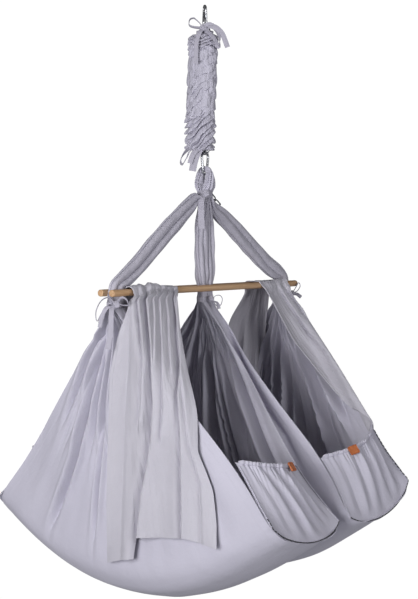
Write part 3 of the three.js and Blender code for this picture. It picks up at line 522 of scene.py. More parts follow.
def sewn(grid, thickness, loop=False):
    """Gives rows of points a thickness: corners, faces and a UV map in metres along the threads.
    loop closes each row on itself."""
    grid = np.asarray(grid, float)
    rows, width = grid.shape[:2]
    if loop:
        across = np.roll(grid, -1, 1) - np.roll(grid, 1, 1)
    else:
        across = np.gradient(grid, axis=1)
    down = np.gradient(grid, axis=0)
    half = unit(np.cross(across, down)) * (np.broadcast_to(thickness, grid.shape[:2])[..., None] / 2)
    points = np.concatenate([(grid + half).reshape(-1, 3), (grid - half).reshape(-1, 3)])
    number = np.arange(rows * width).reshape(rows, width)
    right = np.roll(number, -1, 1) if loop else number[:, 1:]
    left = number if loop else number[:, :-1]
    quads = np.stack([left[:-1], right[:-1], right[1:], left[1:]], -1).reshape(-1, 4)
    back = rows * width
    parts = [quads, quads[:, ::-1] + back]
    for edge, turned in ((number[0], False), (number[-1], True)):
        start, stop = (edge, np.roll(edge, -1)) if loop else (edge[:-1], edge[1:])
        rim = np.stack([start, start + back, stop + back, stop], -1)
        parts.append(rim[:, ::-1] if turned else rim)
    if not loop:
        for edge, turned in ((number[:, 0], True), (number[:, -1], False)):
            rim = np.stack([edge[:-1], edge[:-1] + back, edge[1:] + back, edge[1:]], -1)
            parts.append(rim[:, ::-1] if turned else rim)
    spans = np.linalg.norm(np.diff(grid, axis=1), axis=2)
    u = np.concatenate([[0], np.cumsum(spans.max(axis=0))])
    v = np.concatenate([[0], np.cumsum(np.linalg.norm(np.diff(grid, axis=0), axis=2).mean(axis=1))])
    uv = np.stack(np.broadcast_arrays(u[None, :width] * MM, v[:, None] * MM), -1).reshape(-1, 2)
    return points, np.concatenate(parts), np.concatenate([uv, uv])


def stitched(name, panels, material):
    """Joins sewn panels into one piece."""
    counts = np.cumsum([0] + [len(points) for points, _, _ in panels])
    points = np.concatenate([panel[0] for panel in panels])
    faces = [face for panel, start in zip(panels, counts) for face in (panel[1] + start).tolist()]
    return mesh_piece(name, points, faces, material, np.concatenate([panel[2] for panel in panels]))


def cloth(name, grid, thickness, material, loop=False):
    return stitched(name, [sewn(grid, thickness, loop)], material)


# The sleeve's profile: neck under the top ribbon, puffed body, and a roll that hides the foot ribbon.
SLEEVE_COLUMNS = 160
SLEEVE_ROWS = 240
RUCHE_HEIGHT = 8.5
CALM_HEIGHT = 2.6
PROFILE_DOWN = [0, 0.035, 0.05, 0.075, 0.11, 0.5, 0.88, 0.925, 0.95, 0.965, 0.975, 0.985, 1]
PROFILE_RADIUS = [15.2, 15.2, 22, 29.5, 32, 34, 31, 29.5, 26, 22.5, 20, 16.5, 16]
PROFILE_LEVEL = [0, 0.043, 0.03, 0.034, 0.06, 0.5, 0.965, 0.998, 1.007, 1.0, 0.975, 0.95, 0.985]
# Shares of the sleeve, from the top: where the neck ends, the upper ruches fade, the lower ones start,
# the ruches stop drooping and the roll starts
NECK_SHARE = 0.05
UPPER_RUCHE_SHARE = 0.13
LOWER_RUCHE_SHARE = 0.62
DROOP_SHARE = 0.84
ROLL_SHARE = 0.93
BODY_UNEVENNESS = 1.8
DROOP = 0.5
VIEWER_SIDE = math.radians(215)


def ruche(seed, pitch, slope, level, angle):
    """Pinched folds round the sleeve: how far out each place lies, from -1 to 1, and its droop."""
    rough = wander(seed, np.cos(angle) * 0.6 + level / 90, np.sin(angle) * 0.6) + 0.4 * wander(
        seed + 1, np.cos(angle) * 1.5 + level / 45, np.sin(angle) * 1.5)
    phase = level / pitch + slope * np.sin(angle - VIEWER_SIDE) + 0.7 * rough
    ridge = np.abs(np.sin(math.pi * phase)) ** 0.8 * 2 - 1.3
    return ridge, np.clip(ridge, 0, 1) * pitch


around = np.linspace(0, 2 * math.pi, SLEEVE_COLUMNS, endpoint=False)[None, :]
down = np.linspace(0, 1, SLEEVE_ROWS)[:, None]
sleeve_radius = np.interp(down, PROFILE_DOWN, PROFILE_RADIUS)
sleeve_level = np.interp(down, PROFILE_DOWN, PROFILE_LEVEL)
puffed = smooth((down - NECK_SHARE) / 0.05) * (1 - smooth((down - ROLL_SHARE) / 0.03))
top_ruche = (1 - smooth((down - UPPER_RUCHE_SHARE) / 0.12)) * puffed
foot_ruche = smooth((down - LOWER_RUCHE_SHARE) / 0.12) * puffed
calm = np.clip(1 - top_ruche - foot_ruche, 0, 1) * puffed
level_mm = sleeve_level * (COVER_TOP - COVER_FOOT)
folds = puffed * BODY_UNEVENNESS * wander(13, np.cos(around) * 1.2 + level_mm / 45, np.sin(around) * 1.2)
droop = 0 * folds
# Where the ruches lie, their height, seed, pitch, slope, and the share that is missing in patches
for strength, height, seed, pitch, slope, missing in (
    (top_ruche, RUCHE_HEIGHT, 3, 11, 0.5, 0.15),
    (foot_ruche, RUCHE_HEIGHT, 5, 15, 1.9, 0.5),
    (calm, CALM_HEIGHT, 8, 27, 0.5, 0.5),
):
    ridge, hang = ruche(seed, pitch, slope, level_mm, around)
    patchy = smooth(wander(seed + 20, np.cos(around) + level_mm / 50, np.sin(around)) * 2)
    shown = strength * (1 - missing * patchy)
    folds = folds + shown * height * ridge
    droop = droop + shown * DROOP * hang
radius = sleeve_radius + folds
lean = smooth(down) * puffed
sleeve = np.stack(np.broadcast_arrays(
    np.cos(around) * radius + COVER_LEAN[0] * lean + COVER_TOP_SHIFT[0] * puffed,
    np.sin(around) * radius + COVER_LEAN[1] * lean + COVER_TOP_SHIFT[1] * puffed,
    mix(COVER_TOP, COVER_FOOT, sleeve_level) - droop * (1 - smooth((down - DROOP_SHARE) / 0.06)),
), -1)
cover = cloth("cover_sleeve", sleeve[:, ::-1], COVER_CLOTH, cover_cotton, loop=True)
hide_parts("spring_cover")
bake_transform(cover)


# Hanging loop: the doubled cloth end of the slings, passed through the lower hook. Its two legs are
# flat gathered bands that spread below the hook and meet again under the ribbon round the bundle.
CLOTH_THICKNESS = 2.4
SLING_CLOTH = 1.2
LOOP_HEIGHT = 51
LOOP_SPREAD = 23
LOOP_SLACK = 0.5
LOOP_GRIP_WIDTH = 7.2
LOOP_GRIP_SHIFT = 1
LOOP_GRIP_DEPTH = 19
LOOP_ROWS = 150
LOOP_PLEATS = 7
LOOP_PLEAT_HEIGHT = 2.2
BUNDLE_WIDTH = 36
BUNDLE_DEPTH = 26
APEX_HEIGHT = 226
RIBBON = 12
loop_top = APEX_HEIGHT + LOOP_HEIGHT
CRADLE = np.array([0, 0, low_bearing - loop_top])


def through(marks, count):
    """A smooth curve of count points through marks, evenly spaced along it. Each mark may be a row
    of points, which gives as many curves."""
    marks = np.asarray(marks, float)
    ends = [2 * marks[:1] - marks[1:2], marks, 2 * marks[-1:] - marks[-2:-1]]
    p = np.concatenate(ends)
    t = np.linspace(0, 1, 14, endpoint=False).reshape(-1, *[1] * (marks.ndim - 1))
    pieces = []
    for i in range(1, len(p) - 2):
        a, b, c, d = p[i - 1], p[i], p[i + 1], p[i + 2]
        curve = 2 * b + (c - a) * t + (2 * a - 5 * b + 4 * c - d) * t**2 + (3 * b - a - 3 * c + d) * t**3
        pieces.append(0.5 * curve)
    line = np.concatenate([*pieces, marks[-1:]])
    if marks.ndim == 2:
        line = line[:, None]
    shown = []
    for k in range(line.shape[1]):
        one = line[:, k]
        run = np.concatenate([[0], np.cumsum(np.linalg.norm(np.diff(one, axis=0), axis=1))])
        marks_along = np.linspace(0, run[-1], count)
        shown.append(np.stack([np.interp(marks_along, run, one[:, j]) for j in range(one.shape[1])], 1))
    shown = np.stack(shown, 1)
    return shown[:, 0] if marks.ndim == 2 else shown


def bundle(centres, half, half2, power, pleats, sides=90, turn=None):
    """Gathered cloth as rows of oval outlines. pleats(column, along) pushes each point out, in mm, and
    turn(along) twists the columns, and the folds with them."""
    rows = len(centres)
    column = np.linspace(0, 2 * math.pi, sides, endpoint=False)[None, :]
    along = np.linspace(0, 1, rows)[:, None]
    angle = column + (turn(along) if turn else 0)
    power = np.broadcast_to(power, rows)[:, None]
    reach = (np.abs(np.cos(angle)) ** power + np.abs(np.sin(angle)) ** power) ** (-1 / power)
    flat, deep = reach * np.cos(angle), reach * np.sin(angle)
    size, size2 = (np.linalg.norm(v, axis=1)[:, None] for v in (half, half2))
    out = (flat / size)[..., None] * unit(half)[:, None] + (deep / size2)[..., None] * unit(half2)[:, None]
    outline = centres[:, None] + flat[..., None] * half[:, None] + deep[..., None] * half2[:, None]
    return outline + unit(out) * np.broadcast_to(pleats(column, along), flat.shape)[..., None]


def knife(x, sharp=0.7):
    """A pleat's rise and fall, from -1 to 1: it climbs slowly and drops at once."""
    x = x - np.floor(x)
    return np.where(x < sharp, smooth(x / sharp), smooth((1 - x) / (1 - sharp))) * 2 - 1


# One leg from the tie up to the hook: shares of the loop's spread and of its height
LOOP_WAY = ((0.0, 0.0), (0.0, 0.1), (0.82, 0.34), (1, 0.6), (0.55, 0.92))
leg_y = BUNDLE_DEPTH / 4
grip = loop_top + CLEARANCE + LOOP_GRIP_DEPTH / 2
rise = grip - APEX_HEIGHT
# The band's width and depth on the way from its ends, 0, to the hook, 1
LOOP_WIDTH_PLACES = [0, 0.12, 0.3, 0.5, 0.66, 0.82, 0.86, 1]
LOOP_WIDTHS = [BUNDLE_WIDTH - 3, 34, 35, 30, 19] + [LOOP_GRIP_WIDTH - nip for nip in (0, 0.4, 0.4)]
LOOP_DEPTH_PLACES = [0, 0.12, 0.3, 0.62, 1]
LOOP_DEPTHS = [2 * leg_y - 1, 13, 18, 18, LOOP_GRIP_DEPTH - 4]


def loop_pleats(angle, t):
    """Small pleats along the loop, pressed flat where the hook holds it."""
    pleat = knife(angle * LOOP_PLEATS / math.pi / 2 + 0.8 * t + 0.35 * wander(2, t * 2, np.sin(angle)))
    pressed = 0.95 * np.exp(-((t - 0.5) / 0.13) ** 4)
    return LOOP_PLEAT_HEIGHT * pleat * np.minimum(1, 9 * hump(t)) * (1 - pressed) - 1.0


leg = [(0, leg_y + (LOOP_SPREAD - leg_y) * spread * LOOP_SLACK, APEX_HEIGHT + rise * up)
       for spread, up in LOOP_WAY]
way = through([(x, -y, z) for x, y, z in leg] + [(LOOP_GRIP_SHIFT, 0, grip)] + leg[::-1], LOOP_ROWS)
along = np.linspace(0, 1, LOOP_ROWS)
from_end = np.minimum(along, 1 - along) * 2
width = np.interp(from_end, LOOP_WIDTH_PLACES, LOOP_WIDTHS)
depth = np.interp(from_end, LOOP_DEPTH_PLACES, LOOP_DEPTHS)
tangent = unit(np.gradient(way, axis=0))
loop_across = np.stack([0 * along, -tangent[:, 2], tangent[:, 1]], 1)
loop_grid = bundle(
    way, np.stack([width / 2, 0 * width, 0 * width], 1), unit(loop_across) * depth[:, None] / 2, 2.6,
    loop_pleats)
loop = cloth("loop_cloth", loop_grid + CRADLE, SLING_CLOTH, cover_cotton, loop=True)
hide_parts("hanging_loop")
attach(loop, "cradle")

# Arms: the slings' gathered cloth above the rods. Two outer arms slope down to the ends of the rods
# and two inner ones hang side by side in the middle, all pressed together under the upper ribbon.
LEFT_ARM_RISE = 14
RIGHT_ARM_DROP = 13
ROD_DIAMETER = 16
ROD_GAP = 16
GATHER_REACH = 352
GATHER_WIDTH = 46
ARM_WIDTH = 56
ARM_DEPTH = 17
CENTRE_ARM_WIDTH = 29
ARM_TUCK = 0.36
ARM_FOLDS = 7
ARM_FOLD_DEPTH = 3.6
ARM_ROWS = 170
ARM_COLUMNS = 196
INNER_ARM_ROWS = 120
INNER_ARM_COLUMNS = 110


def outer_arm(side, top_drop, pleats):
    rise = APEX_HEIGHT - top_drop
    slope = unit(np.array([GATHER_REACH, 0, -rise]))
    lift = np.array([-slope[2], 0, slope[0]])
    half = BUNDLE_WIDTH / 2
    top = APEX_HEIGHT
    below = APEX_HEIGHT - RIBBON * 0.6
    marks = [
        ((half - 1, top), (half / 2, top), BUNDLE_DEPTH / 2 - 1),
        ((half - 1, top - 4), (half * 0.5, top - 4), BUNDLE_DEPTH / 2 - 1),
        ((half, below), (half * 0.55, below - half * 0.17), BUNDLE_DEPTH / 2),
        ((half * 1.25, below - half * 0.4), (half * 0.72, below - half * 0.8), BUNDLE_DEPTH / 2),
    ]
    for reach, width in ((0.1, 0.46), (0.2, 0.74), (0.36, 0.96), (0.56, 1), (0.76, 0.88)):
        centre = np.array([GATHER_REACH * reach, 0, mix(rise, 0, reach)])
        spread = lift * ARM_WIDTH * width / 2
        up, low = centre + spread, centre - spread * (1 - ARM_TUCK * hump(reach))
        marks.append(((up[0], up[2]), (low[0], low[2]), ARM_DEPTH / 2))
    neck = ROD_GAP / 2 - CLEARANCE
    outer, inner = GATHER_REACH + GATHER_WIDTH / 2, GATHER_REACH - GATHER_WIDTH / 2
    over = ROD_DIAMETER / 2 + CLOTH_THICKNESS + 4 * CLEARANCE
    marks += [
        ((GATHER_REACH - GATHER_WIDTH * 0.4, ROD_DIAMETER * 2.9),
         (GATHER_REACH - GATHER_WIDTH * 0.9, over + 1.6), 8.5),
        ((outer - ROD_DIAMETER * 0.6, ROD_DIAMETER * 1.5), (inner - CLEARANCE, over), neck),
        ((outer, 1), (inner, 1), neck),
    ]
    flat = through([[*up, *low, deep] for up, low, deep in marks], ARM_ROWS)
    up, low, deep = flat[:, 0:2], flat[:, 2:4], flat[:, 4]
    centre, spread = (up + low) / 2, (up - low) / 2
    none = 0 * deep
    centres = np.stack([side * centre[:, 0], none, centre[:, 1]], 1)
    halves = np.stack([side * spread[:, 0], none, spread[:, 1]], 1)
    power = np.interp(np.linspace(0, 1, ARM_ROWS), [0, 0.1, 0.9, 1], [3.6, 2.8, 2.8, 3.6])
    return bundle(centres, halves, np.stack([none, deep, none], 1), power, *pleats)


def arm_pleats(seed, drift, fuller, columns=ARM_COLUMNS, count=ARM_FOLDS):
    """Long folds that run down the arm, rounded with sharp valleys, and slowly wind round it."""
    chance = np.random.default_rng(seed)
    edges = np.cumsum(chance.uniform(0.4, 1.6, count))
    edges = np.concatenate([[0], edges / edges[-1]]) * 2 * math.pi
    heights = chance.uniform(0.7, 1.3, count + 1)

    def pushed(column, along):
        place = np.interp(column, edges, np.arange(count + 1))
        tall = np.interp(place, np.arange(count + 1) + 0.5, heights)
        pleat = np.abs(np.sin(math.pi * place)) ** 0.6 * 2 - 1.5
        rough = 0.3 * wander(seed + 1, along * 2.5, np.cos(column))
        rough = rough + 0.2 * wander(seed + 2, along * 6, column)
        middle = np.minimum(1, 6 * hump(along) + 0.3)
        return ARM_FOLD_DEPTH * (pleat * tall + rough) * middle + fuller * smooth(hump(along) * 2)

    def turn(along):
        return drift * (along + 0.35 * wander(seed + 3, along * 0.9))
    return pushed, columns, turn


def inner_arm(side, pleats):
    marks = [[APEX_HEIGHT, BUNDLE_WIDTH / 4, BUNDLE_DEPTH / 2 - 1], [APEX_HEIGHT - 6, BUNDLE_WIDTH / 4, 12]]
    for height, width in ((0.94, 0.32), (0.85, 0.5), (0.72, 0.82), (0.54, 1), (0.32, 1), (0.13, 0.9)):
        marks.append([APEX_HEIGHT * height, CENTRE_ARM_WIDTH * width, ARM_DEPTH / 2])
    neck = ROD_GAP / 2 - CLEARANCE
    marks += [[ROD_DIAMETER / 2, GATHER_WIDTH / 2, neck], [1, GATHER_WIDTH / 2, neck]]
    flat = through(marks, INNER_ARM_ROWS)
    none = 0 * flat[:, 0]
    centres = np.stack([side * flat[:, 1] / 2, none, flat[:, 0]], 1)
    halves = np.stack([flat[:, 1] / 2 - CLEARANCE, none, none], 1)
    return bundle(centres, halves, np.stack([none, flat[:, 2], none], 1), 3.0, *pleats)


for name, grid in (
    ("left_outer_arm", outer_arm(-1, -LEFT_ARM_RISE, arm_pleats(21, 0.6, 0.4))[:, ::-1]),
    ("right_outer_arm", outer_arm(1, RIGHT_ARM_DROP, arm_pleats(22, -0.6, 0.6))),
    ("left_inner_arm", inner_arm(-1, arm_pleats(23, 0.7, 3.0, INNER_ARM_COLUMNS))),
    ("right_inner_arm", inner_arm(1, arm_pleats(24, 0.8, 3.0, INNER_ARM_COLUMNS))),
):
    arm = cloth(f"{name}_cloth", grid + CRADLE, SLING_CLOTH, arm_cotton_painted_shade, loop=True)
    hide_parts(name)
    flat, area = ((0.32, 0.46), 0.07) if "outer" in name else ((0.24, 0.26), 0.035)
    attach(arm, "cradle")


# Ribbons on the cover: flat cotton tape wound over the sleeve's necks and tied in loose bows whose
# loops and tails hang down on the side that faces the room.
ACROSS = np.array([0.574, -0.819, 0.0])
TOWARD = np.array([-0.819, -0.574, 0.0])
UPWARD = np.array([0.0, 0.0, 1.0])
TAPE_THICKNESS = 1.0
BAND_ROWS = 22
NECK_TIE_RADIUS = 17.0
tape_cotton = cotton("tape_cotton", (0.37, 0.355, 0.42), (0.47, 0.455, 0.53))


def seen(across, toward, level):
    """A place measured to the right, towards the viewer and up from the hanging line."""
    return across * ACROSS + toward * TOWARD + level * UPWARD


def tape(places, width, facing, at=(0, 0, 0), curl=0.1, count=70):
    """A flat tape through places. facing lists the direction of its width at its start and end."""
    line = through([seen(*place) for place in places], count) + at
    way = unit(np.gradient(line, axis=0))
    t = np.linspace(0, 1, count)[:, None]
    broad = mix(np.asarray(facing[0], float), np.asarray(facing[-1], float), t)
    broad = unit(broad - way * (broad * way).sum(1, keepdims=True))
    normal = np.cross(way, broad)
    offset = np.linspace(-0.5, 0.5, 9)[None, :, None] * width
    arch = (1 - 4 * (offset / width) ** 2) * curl * width
    ripple = 0.5 * wander(int(abs(places[0][0]) * 7 + width), t * 3)
    grid = line[:, None] + broad[:, None] * offset + normal[:, None] * (arch + ripple[..., None])
    return sewn(grid, TAPE_THICKNESS)


def ribbon_band(half_x, half_y, level, height, at=(0, 0, 0)):
    """The tape's turns round a bundle, pulled into a few hard wrinkles."""
    rows = np.linspace(0, 1, BAND_ROWS)
    centres = np.asarray(at, float) + np.stack([0 * rows, 0 * rows, level + (rows - 0.5) * height], 1)
    ones = np.ones(BAND_ROWS)[:, None]
    grid = bundle(
        centres, ones * [half_x, 0, 0], ones * [0, half_y, 0], 3.2,
        lambda angle, t: 1.1 - 0.7 * np.abs(np.sin(math.pi * (3 * t + 0.5 * wander(7, angle / 3)))) ** 4, 90)
    return sewn(grid, TAPE_THICKNESS, loop=True)


def knot(place, size, at=(0, 0, 0)):
    """A small tight knot: a ball of tape with creases that run to its ends."""
    t = np.linspace(0, 1, 24)
    centres = seen(*place) + at + np.outer((t - 0.5) * size, ACROSS)
    swell = size * (0.16 + 0.36 * np.sqrt(np.clip(hump(t), 0, 1)))[:, None]
    grid = bundle(
        centres, swell * UPWARD, swell * TOWARD * 0.85, 2,
        lambda angle, along: 0.9 * knife(angle * 5 / math.pi / 2 + along) - 0.3, 48)
    return sewn(grid, 0.8, loop=True)


top_band = COVER_TOP - RIBBON / 2
top_ribbon = stitched("cover_top_ribbon", [
    ribbon_band(NECK_TIE_RADIUS, NECK_TIE_RADIUS, top_band, RIBBON),
    knot((-4, 25, -52), 15),
    tape([(-6, 24, -50), (-16, 27, -38), (-26, 30, -30), (-36, 30, -34), (-37, 29, -46), (-26, 27, -51),
          (-6, 25, -52)], 10, (TOWARD, UPWARD * 0.6 + TOWARD)),
    tape([(-1, 25, -50), (12, 31, -46), (26, 35, -56), (36, 37, -82), (33, 39, -98), (22, 39, -80),
          (0, 29, -54)], 14, (UPWARD + TOWARD * 0.4, UPWARD + TOWARD)),
    tape([(2, 27, -52), (20, 37, -50), (40, 40, -66), (54, 40, -100)], 12, (UPWARD + ACROSS * 0.5, ACROSS)),
    tape([(-6, 27, -55), (-13, 36, -66), (-20, 41, -90), (-21, 42, -140)], 10, (ACROSS, ACROSS)),
], tape_cotton)
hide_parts("cover_top_tie")
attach(top_ribbon, "spring_body")

foot_band = COVER_FOOT + RIBBON / 2
foot_ribbon = stitched("cover_foot_ribbon", [
    ribbon_band(NECK_TIE_RADIUS, NECK_TIE_RADIUS, foot_band, RIBBON),
    knot((-12, 21, -338), 13),
    tape([(-16, 21, -336), (-34, 22, -338), (-50, 24, -352), (-58, 25, -370), (-54, 27, -377),
          (-44, 28, -362), (-36, 27, -346), (-16, 23, -339)],
         10, (TOWARD * 0.3 + UPWARD, ACROSS * 0.5 + TOWARD)),
    tape([(-14, 24, -340), (-26, 31, -350), (-32, 33, -362), (-36, 33, -376)], 12, (ACROSS, ACROSS)),
    tape([(-12, 22, -342), (-20, 26, -356), (-26, 27, -374), (-30, 26, -394)],
         17, (ACROSS, ACROSS - UPWARD * 0.3)),
], tape_cotton)
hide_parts("cover_bottom_tie")
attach(foot_ribbon, "spring_end")

# Upper ribbon of the slings: the same tape, wound twice round the loop and the arm tops, knotted in
# front, with one long flat tail. A short strap of it holds the upper link.
APEX_BAND = 15
APEX_STANDOFF = 0.5
apex_ribbon = stitched("apex_ribbon", [
    ribbon_band(BUNDLE_WIDTH / 2 + APEX_STANDOFF, BUNDLE_DEPTH / 2 + APEX_STANDOFF, APEX_HEIGHT, APEX_BAND,
                CRADLE),
    knot((3, 24, APEX_HEIGHT + 2), 15, CRADLE),
    tape([(-1, 24, APEX_HEIGHT - 3), (-8, 37, APEX_HEIGHT - 14), (-9, 50, APEX_HEIGHT - 46),
          (-7, 47, APEX_HEIGHT - 84)], 14, (ACROSS, ACROSS + UPWARD * 0.1), CRADLE, curl=0.04),
], tape_cotton)
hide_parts("apex_tie")
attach(apex_ribbon, "cradle")


# Rods: two lengths of 16 mm beech dowel, sawn, eased at the ends, sanded and left bare. They lie
# side by side with the gathered cloth between them, and nothing but the cloth and its ties holds them.
ROD_LENGTH = 776
ROD_EASE = 1.8
rod_y = (ROD_GAP + ROD_DIAMETER) / 2


def beech_grain(s):
    place = s.add("ShaderNodeTexCoord", output=3)
    grain = s.noise(s.stretched(place, 4, 150, 150), 1, 5, 0.6)
    fleck = s.noise(s.stretched(place, 55, 700, 700), 1, 2)
    tone = (grain * 0.75 + fleck * 0.25).band(0.25, 0.75)
    return {
        "Base Color": tone.tint((0.42, 0.235, 0.115), (0.66, 0.44, 0.26)),
        "Roughness": grain * 0.2 + 0.4,
        "Normal": s.bump(grain + fleck, 0.0003, 0.6),
    }


beech = finish("bare_beech", beech_grain, Coat_Weight=0.08, Coat_Roughness=0.4)
for name, side in (("front_rod", -1), ("rear_rod", 1)):
    bpy.ops.mesh.primitive_cylinder_add(
        vertices=48, radius=ROD_DIAMETER / 2 * MM, depth=ROD_LENGTH * MM,
        location=(0, side * rod_y * MM, CRADLE[2] * MM), rotation=(0, math.pi / 2, 0))
    rod = bpy.context.object
    ease = rod.modifiers.new("eased_ends", "BEVEL")
    ease.width, ease.segments, ease.limit_method, ease.angle_limit = ROD_EASE * MM, 4, "ANGLE", 0.9
    bpy.ops.object.modifier_apply(modifier=ease.name)
    bpy.ops.object.shade_smooth_by_angle(angle=0.6)
    rod.data.materials.append(beech)
    settle(rod, f"{name}_dowel")
    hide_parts(name)
    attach(rod, "cradle")


# Ribbons at the gathers: under the rods each gather is bound twice with the same tape. The left one
# ends in a crumpled bow and a long tail, the middle one in a small loop, the right one in a short bow.
NECK_DROP = ROD_DIAMETER / 2 + RIBBON * 2.2
NECK_HALF_DEPTH = ROD_GAP / 2 + CLOTH_THICKNESS
TIE_STANDOFF = 0.8
tie_level = -NECK_DROP + RIBBON * 0.6
left_gather = CRADLE - [GATHER_REACH, 0, 0]
right_gather = CRADLE + [GATHER_REACH, 0, 0]
gather_band = (GATHER_WIDTH / 2 + TIE_STANDOFF, NECK_HALF_DEPTH + TIE_STANDOFF, tie_level, RIBBON)
for name, panels in (
    ("left", [
        ribbon_band(*gather_band, left_gather),
        knot((3, 26, tie_level + 2), 15, left_gather),
        tape([(0, 26, -24), (-14, 30, -10), (-30, 32, -16), (-42, 32, -40), (-40, 33, -62), (-30, 32, -44),
              (-14, 30, -24), (0, 26, -27)], 9, (TOWARD + UPWARD * 0.3, TOWARD), left_gather),
        tape([(4, 26, -22), (14, 31, -10), (26, 32, -14), (30, 31, -26), (18, 29, -27), (5, 26, -25)],
             9, (TOWARD + UPWARD, TOWARD), left_gather),
        tape([(-2, 27, -28), (-20, 34, -34), (-30, 36, -56), (-34, 38, -76)],
             9, (ACROSS, ACROSS), left_gather),
        tape([(-6, 27, -28), (-8, 40, -44), (-9, 50, -84), (-15, 58, -124)],
             11, (ACROSS, ACROSS), left_gather, curl=0.05),
    ]),
    ("centre", [
        ribbon_band(*gather_band, CRADLE),
        knot((16, 22, tie_level + 1), 12, CRADLE),
        tape([(18, 21, -27), (26, 20, -18), (36, 20, -17), (42, 20, -27), (38, 21, -40), (28, 21, -42),
              (18, 21, -30)], 8, (TOWARD, TOWARD + UPWARD * 0.4), CRADLE),
        tape([(17, 21, -30), (30, 21, -36), (34, 22, -50)], 8, (UPWARD * 0.4 + TOWARD, ACROSS), CRADLE),
    ]),
    ("right", [
        ribbon_band(*gather_band, right_gather),
        knot((24, -4, tie_level + 2), 13, right_gather),
        tape([(26, -4, -24), (34, -6, -10), (42, -8, 2), (46, -8, -8), (38, -6, -20), (26, -4, -25)],
             9, (TOWARD, TOWARD), right_gather),
        tape([(26, -4, -27), (38, -6, -28), (48, -8, -36)], 9, (UPWARD + TOWARD, UPWARD), right_gather),
    ]),
):
    ribbon = stitched(f"{name}_gather_ribbon", panels, tape_cotton)
    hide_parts(f"{name}_rod_tie")
    rests = "left_inner_side_cloth" if name == "centre" else f"{name}_outer_side_cloth"
    area = 0.0067 if name == "left" else 0.0033
    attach(ribbon, "cradle")

# Links: two oval rings of 3.5 mm bright steel wire, bent and closed, one through the other. They
# chain the upper ribbon to the right arm.
LINK_WIRE = 3.5
LINK_LENGTH = 28
LINK_WIDTH = 15
LINK_TILT = math.radians(33)
link_pitch = LINK_LENGTH - 2 * LINK_WIRE - CLEARANCE
link_bend = (LINK_WIDTH - LINK_WIRE) / 2
chain_reach = (LINK_LENGTH - LINK_WIDTH) / 2 * math.cos(LINK_TILT) + LINK_WIDTH / 2
chain = Matrix.Translation(Vector((
    BUNDLE_WIDTH / 2 + 2 + 2 * CLEARANCE + chain_reach, 0, APEX_HEIGHT - LINK_WIDTH / 2 + CRADLE[2])) * MM)
chain = chain @ Matrix.Rotation(LINK_TILT, 4, "Y")
for name, turn, shift in (("upper_link", math.pi / 2, 0), ("lower_link", 0, link_pitch)):
    bpy.ops.mesh.primitive_torus_add(
        major_radius=link_bend * MM, minor_radius=LINK_WIRE / 2 * MM, major_segments=48, minor_segments=16)
    ring = bpy.context.object
    for corner in ring.data.vertices:
        if abs(corner.co.x) > 1e-7:
            corner.co.x += math.copysign((LINK_LENGTH - LINK_WIDTH) / 2 * MM, corner.co.x)
    bpy.ops.object.shade_smooth_by_angle(angle=1.0)
    ring.data.materials.append(bright_steel)
    place = chain @ Matrix.Translation((shift * MM, 0, 0)) @ Matrix.Rotation(turn, 4, "X")
    settle(ring, f"{name}_steel", place)
    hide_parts(name)
    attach(ring, "cradle")


# Sling sides: each sling is one wide cloth. Gathered at the rods in tight pleats, it fans out to the
# two long edges of the bed, with long folds that fade on the way down and a narrow hem at each end.
BED_HALF_LENGTH = 391
BED_OUTER = 318
BED_INNER = 14
BED_END_DROP = 508
BED_INNER_END_DROP = 530
BED_MIDDLE_DROP = 655
RIGHT_FOOT_LIFT = 32
BED_SAG = 57
BED_SWELL = 14
RIGHT_SAG_SHARE = 0.8
BED_END_SAG = 34
EDGE_CURVE = 2.05
SIDE_FOLD = 6
OUTER_PLEAT = 20
INNER_PLEAT = 10.3
POCKET_RISE = 132
POCKET_OUTER_PINCH = 24
POCKET_INNER_PINCH = 44
POCKET_BULGE = 40
HEM_DIAMETER = 9
BASE_LIFT = CLOTH_THICKNESS + 2 * CLEARANCE
END_BULGE_SHARE = 0.35


def points_of(x, y, z):
    return np.stack(np.broadcast_arrays(x, y, z), -1).astype(float)


def bed_edge(bed, outer, across):
    across = np.asarray(across, float)
    bend = np.abs(across) ** EDGE_CURVE
    x = BED_OUTER + BED_SWELL * (1 - across * across) if outer else BED_INNER + 0 * across
    end_drop = BED_END_DROP if outer else BED_INNER_END_DROP
    lift = RIGHT_FOOT_LIFT * ((1 - across) / 2) ** 3 if bed > 0 and outer else 0 * across
    return points_of(bed * x, across * BED_HALF_LENGTH, lift - mix(BED_MIDDLE_DROP, end_drop, bend))


def neck_x(outer):
    return GATHER_REACH if outer else GATHER_WIDTH / 4 + CLEARANCE / 4


def fan_point(bed, outer, across, reach, fold=1.0):
    """A point of a side: across runs from -1 at the foot to 1 at the head, reach from 0 at the gather."""
    across, reach = np.broadcast_arrays(np.asarray(across, float), np.asarray(reach, float))
    start = points_of(bed * neck_x(outer), across * NECK_HALF_DEPTH, -NECK_DROP)
    point = start + (bed_edge(bed, outer, across) - start) * reach[..., None]
    bow = np.sin(math.pi * np.clip(reach, 0, 1))
    pinch = np.sin(math.pi * np.clip(reach, 0, 1) ** 2.4) * np.abs(across) ** 3
    inward = -POCKET_OUTER_PINCH if outer else POCKET_INNER_PINCH
    broad = bow**0.7 * np.cos(3.5 * math.pi * (across + 1)) - 0.2
    calm = (1 - np.abs(across) ** 6) * np.minimum(1, 2 * hump(np.clip(reach, 0, 1)))
    outward = SIDE_FOLD if outer else -SIDE_FOLD
    point[..., 0] += bed * (pinch * inward + fold * broad * outward * np.clip(calm, 0, 1))
    return point


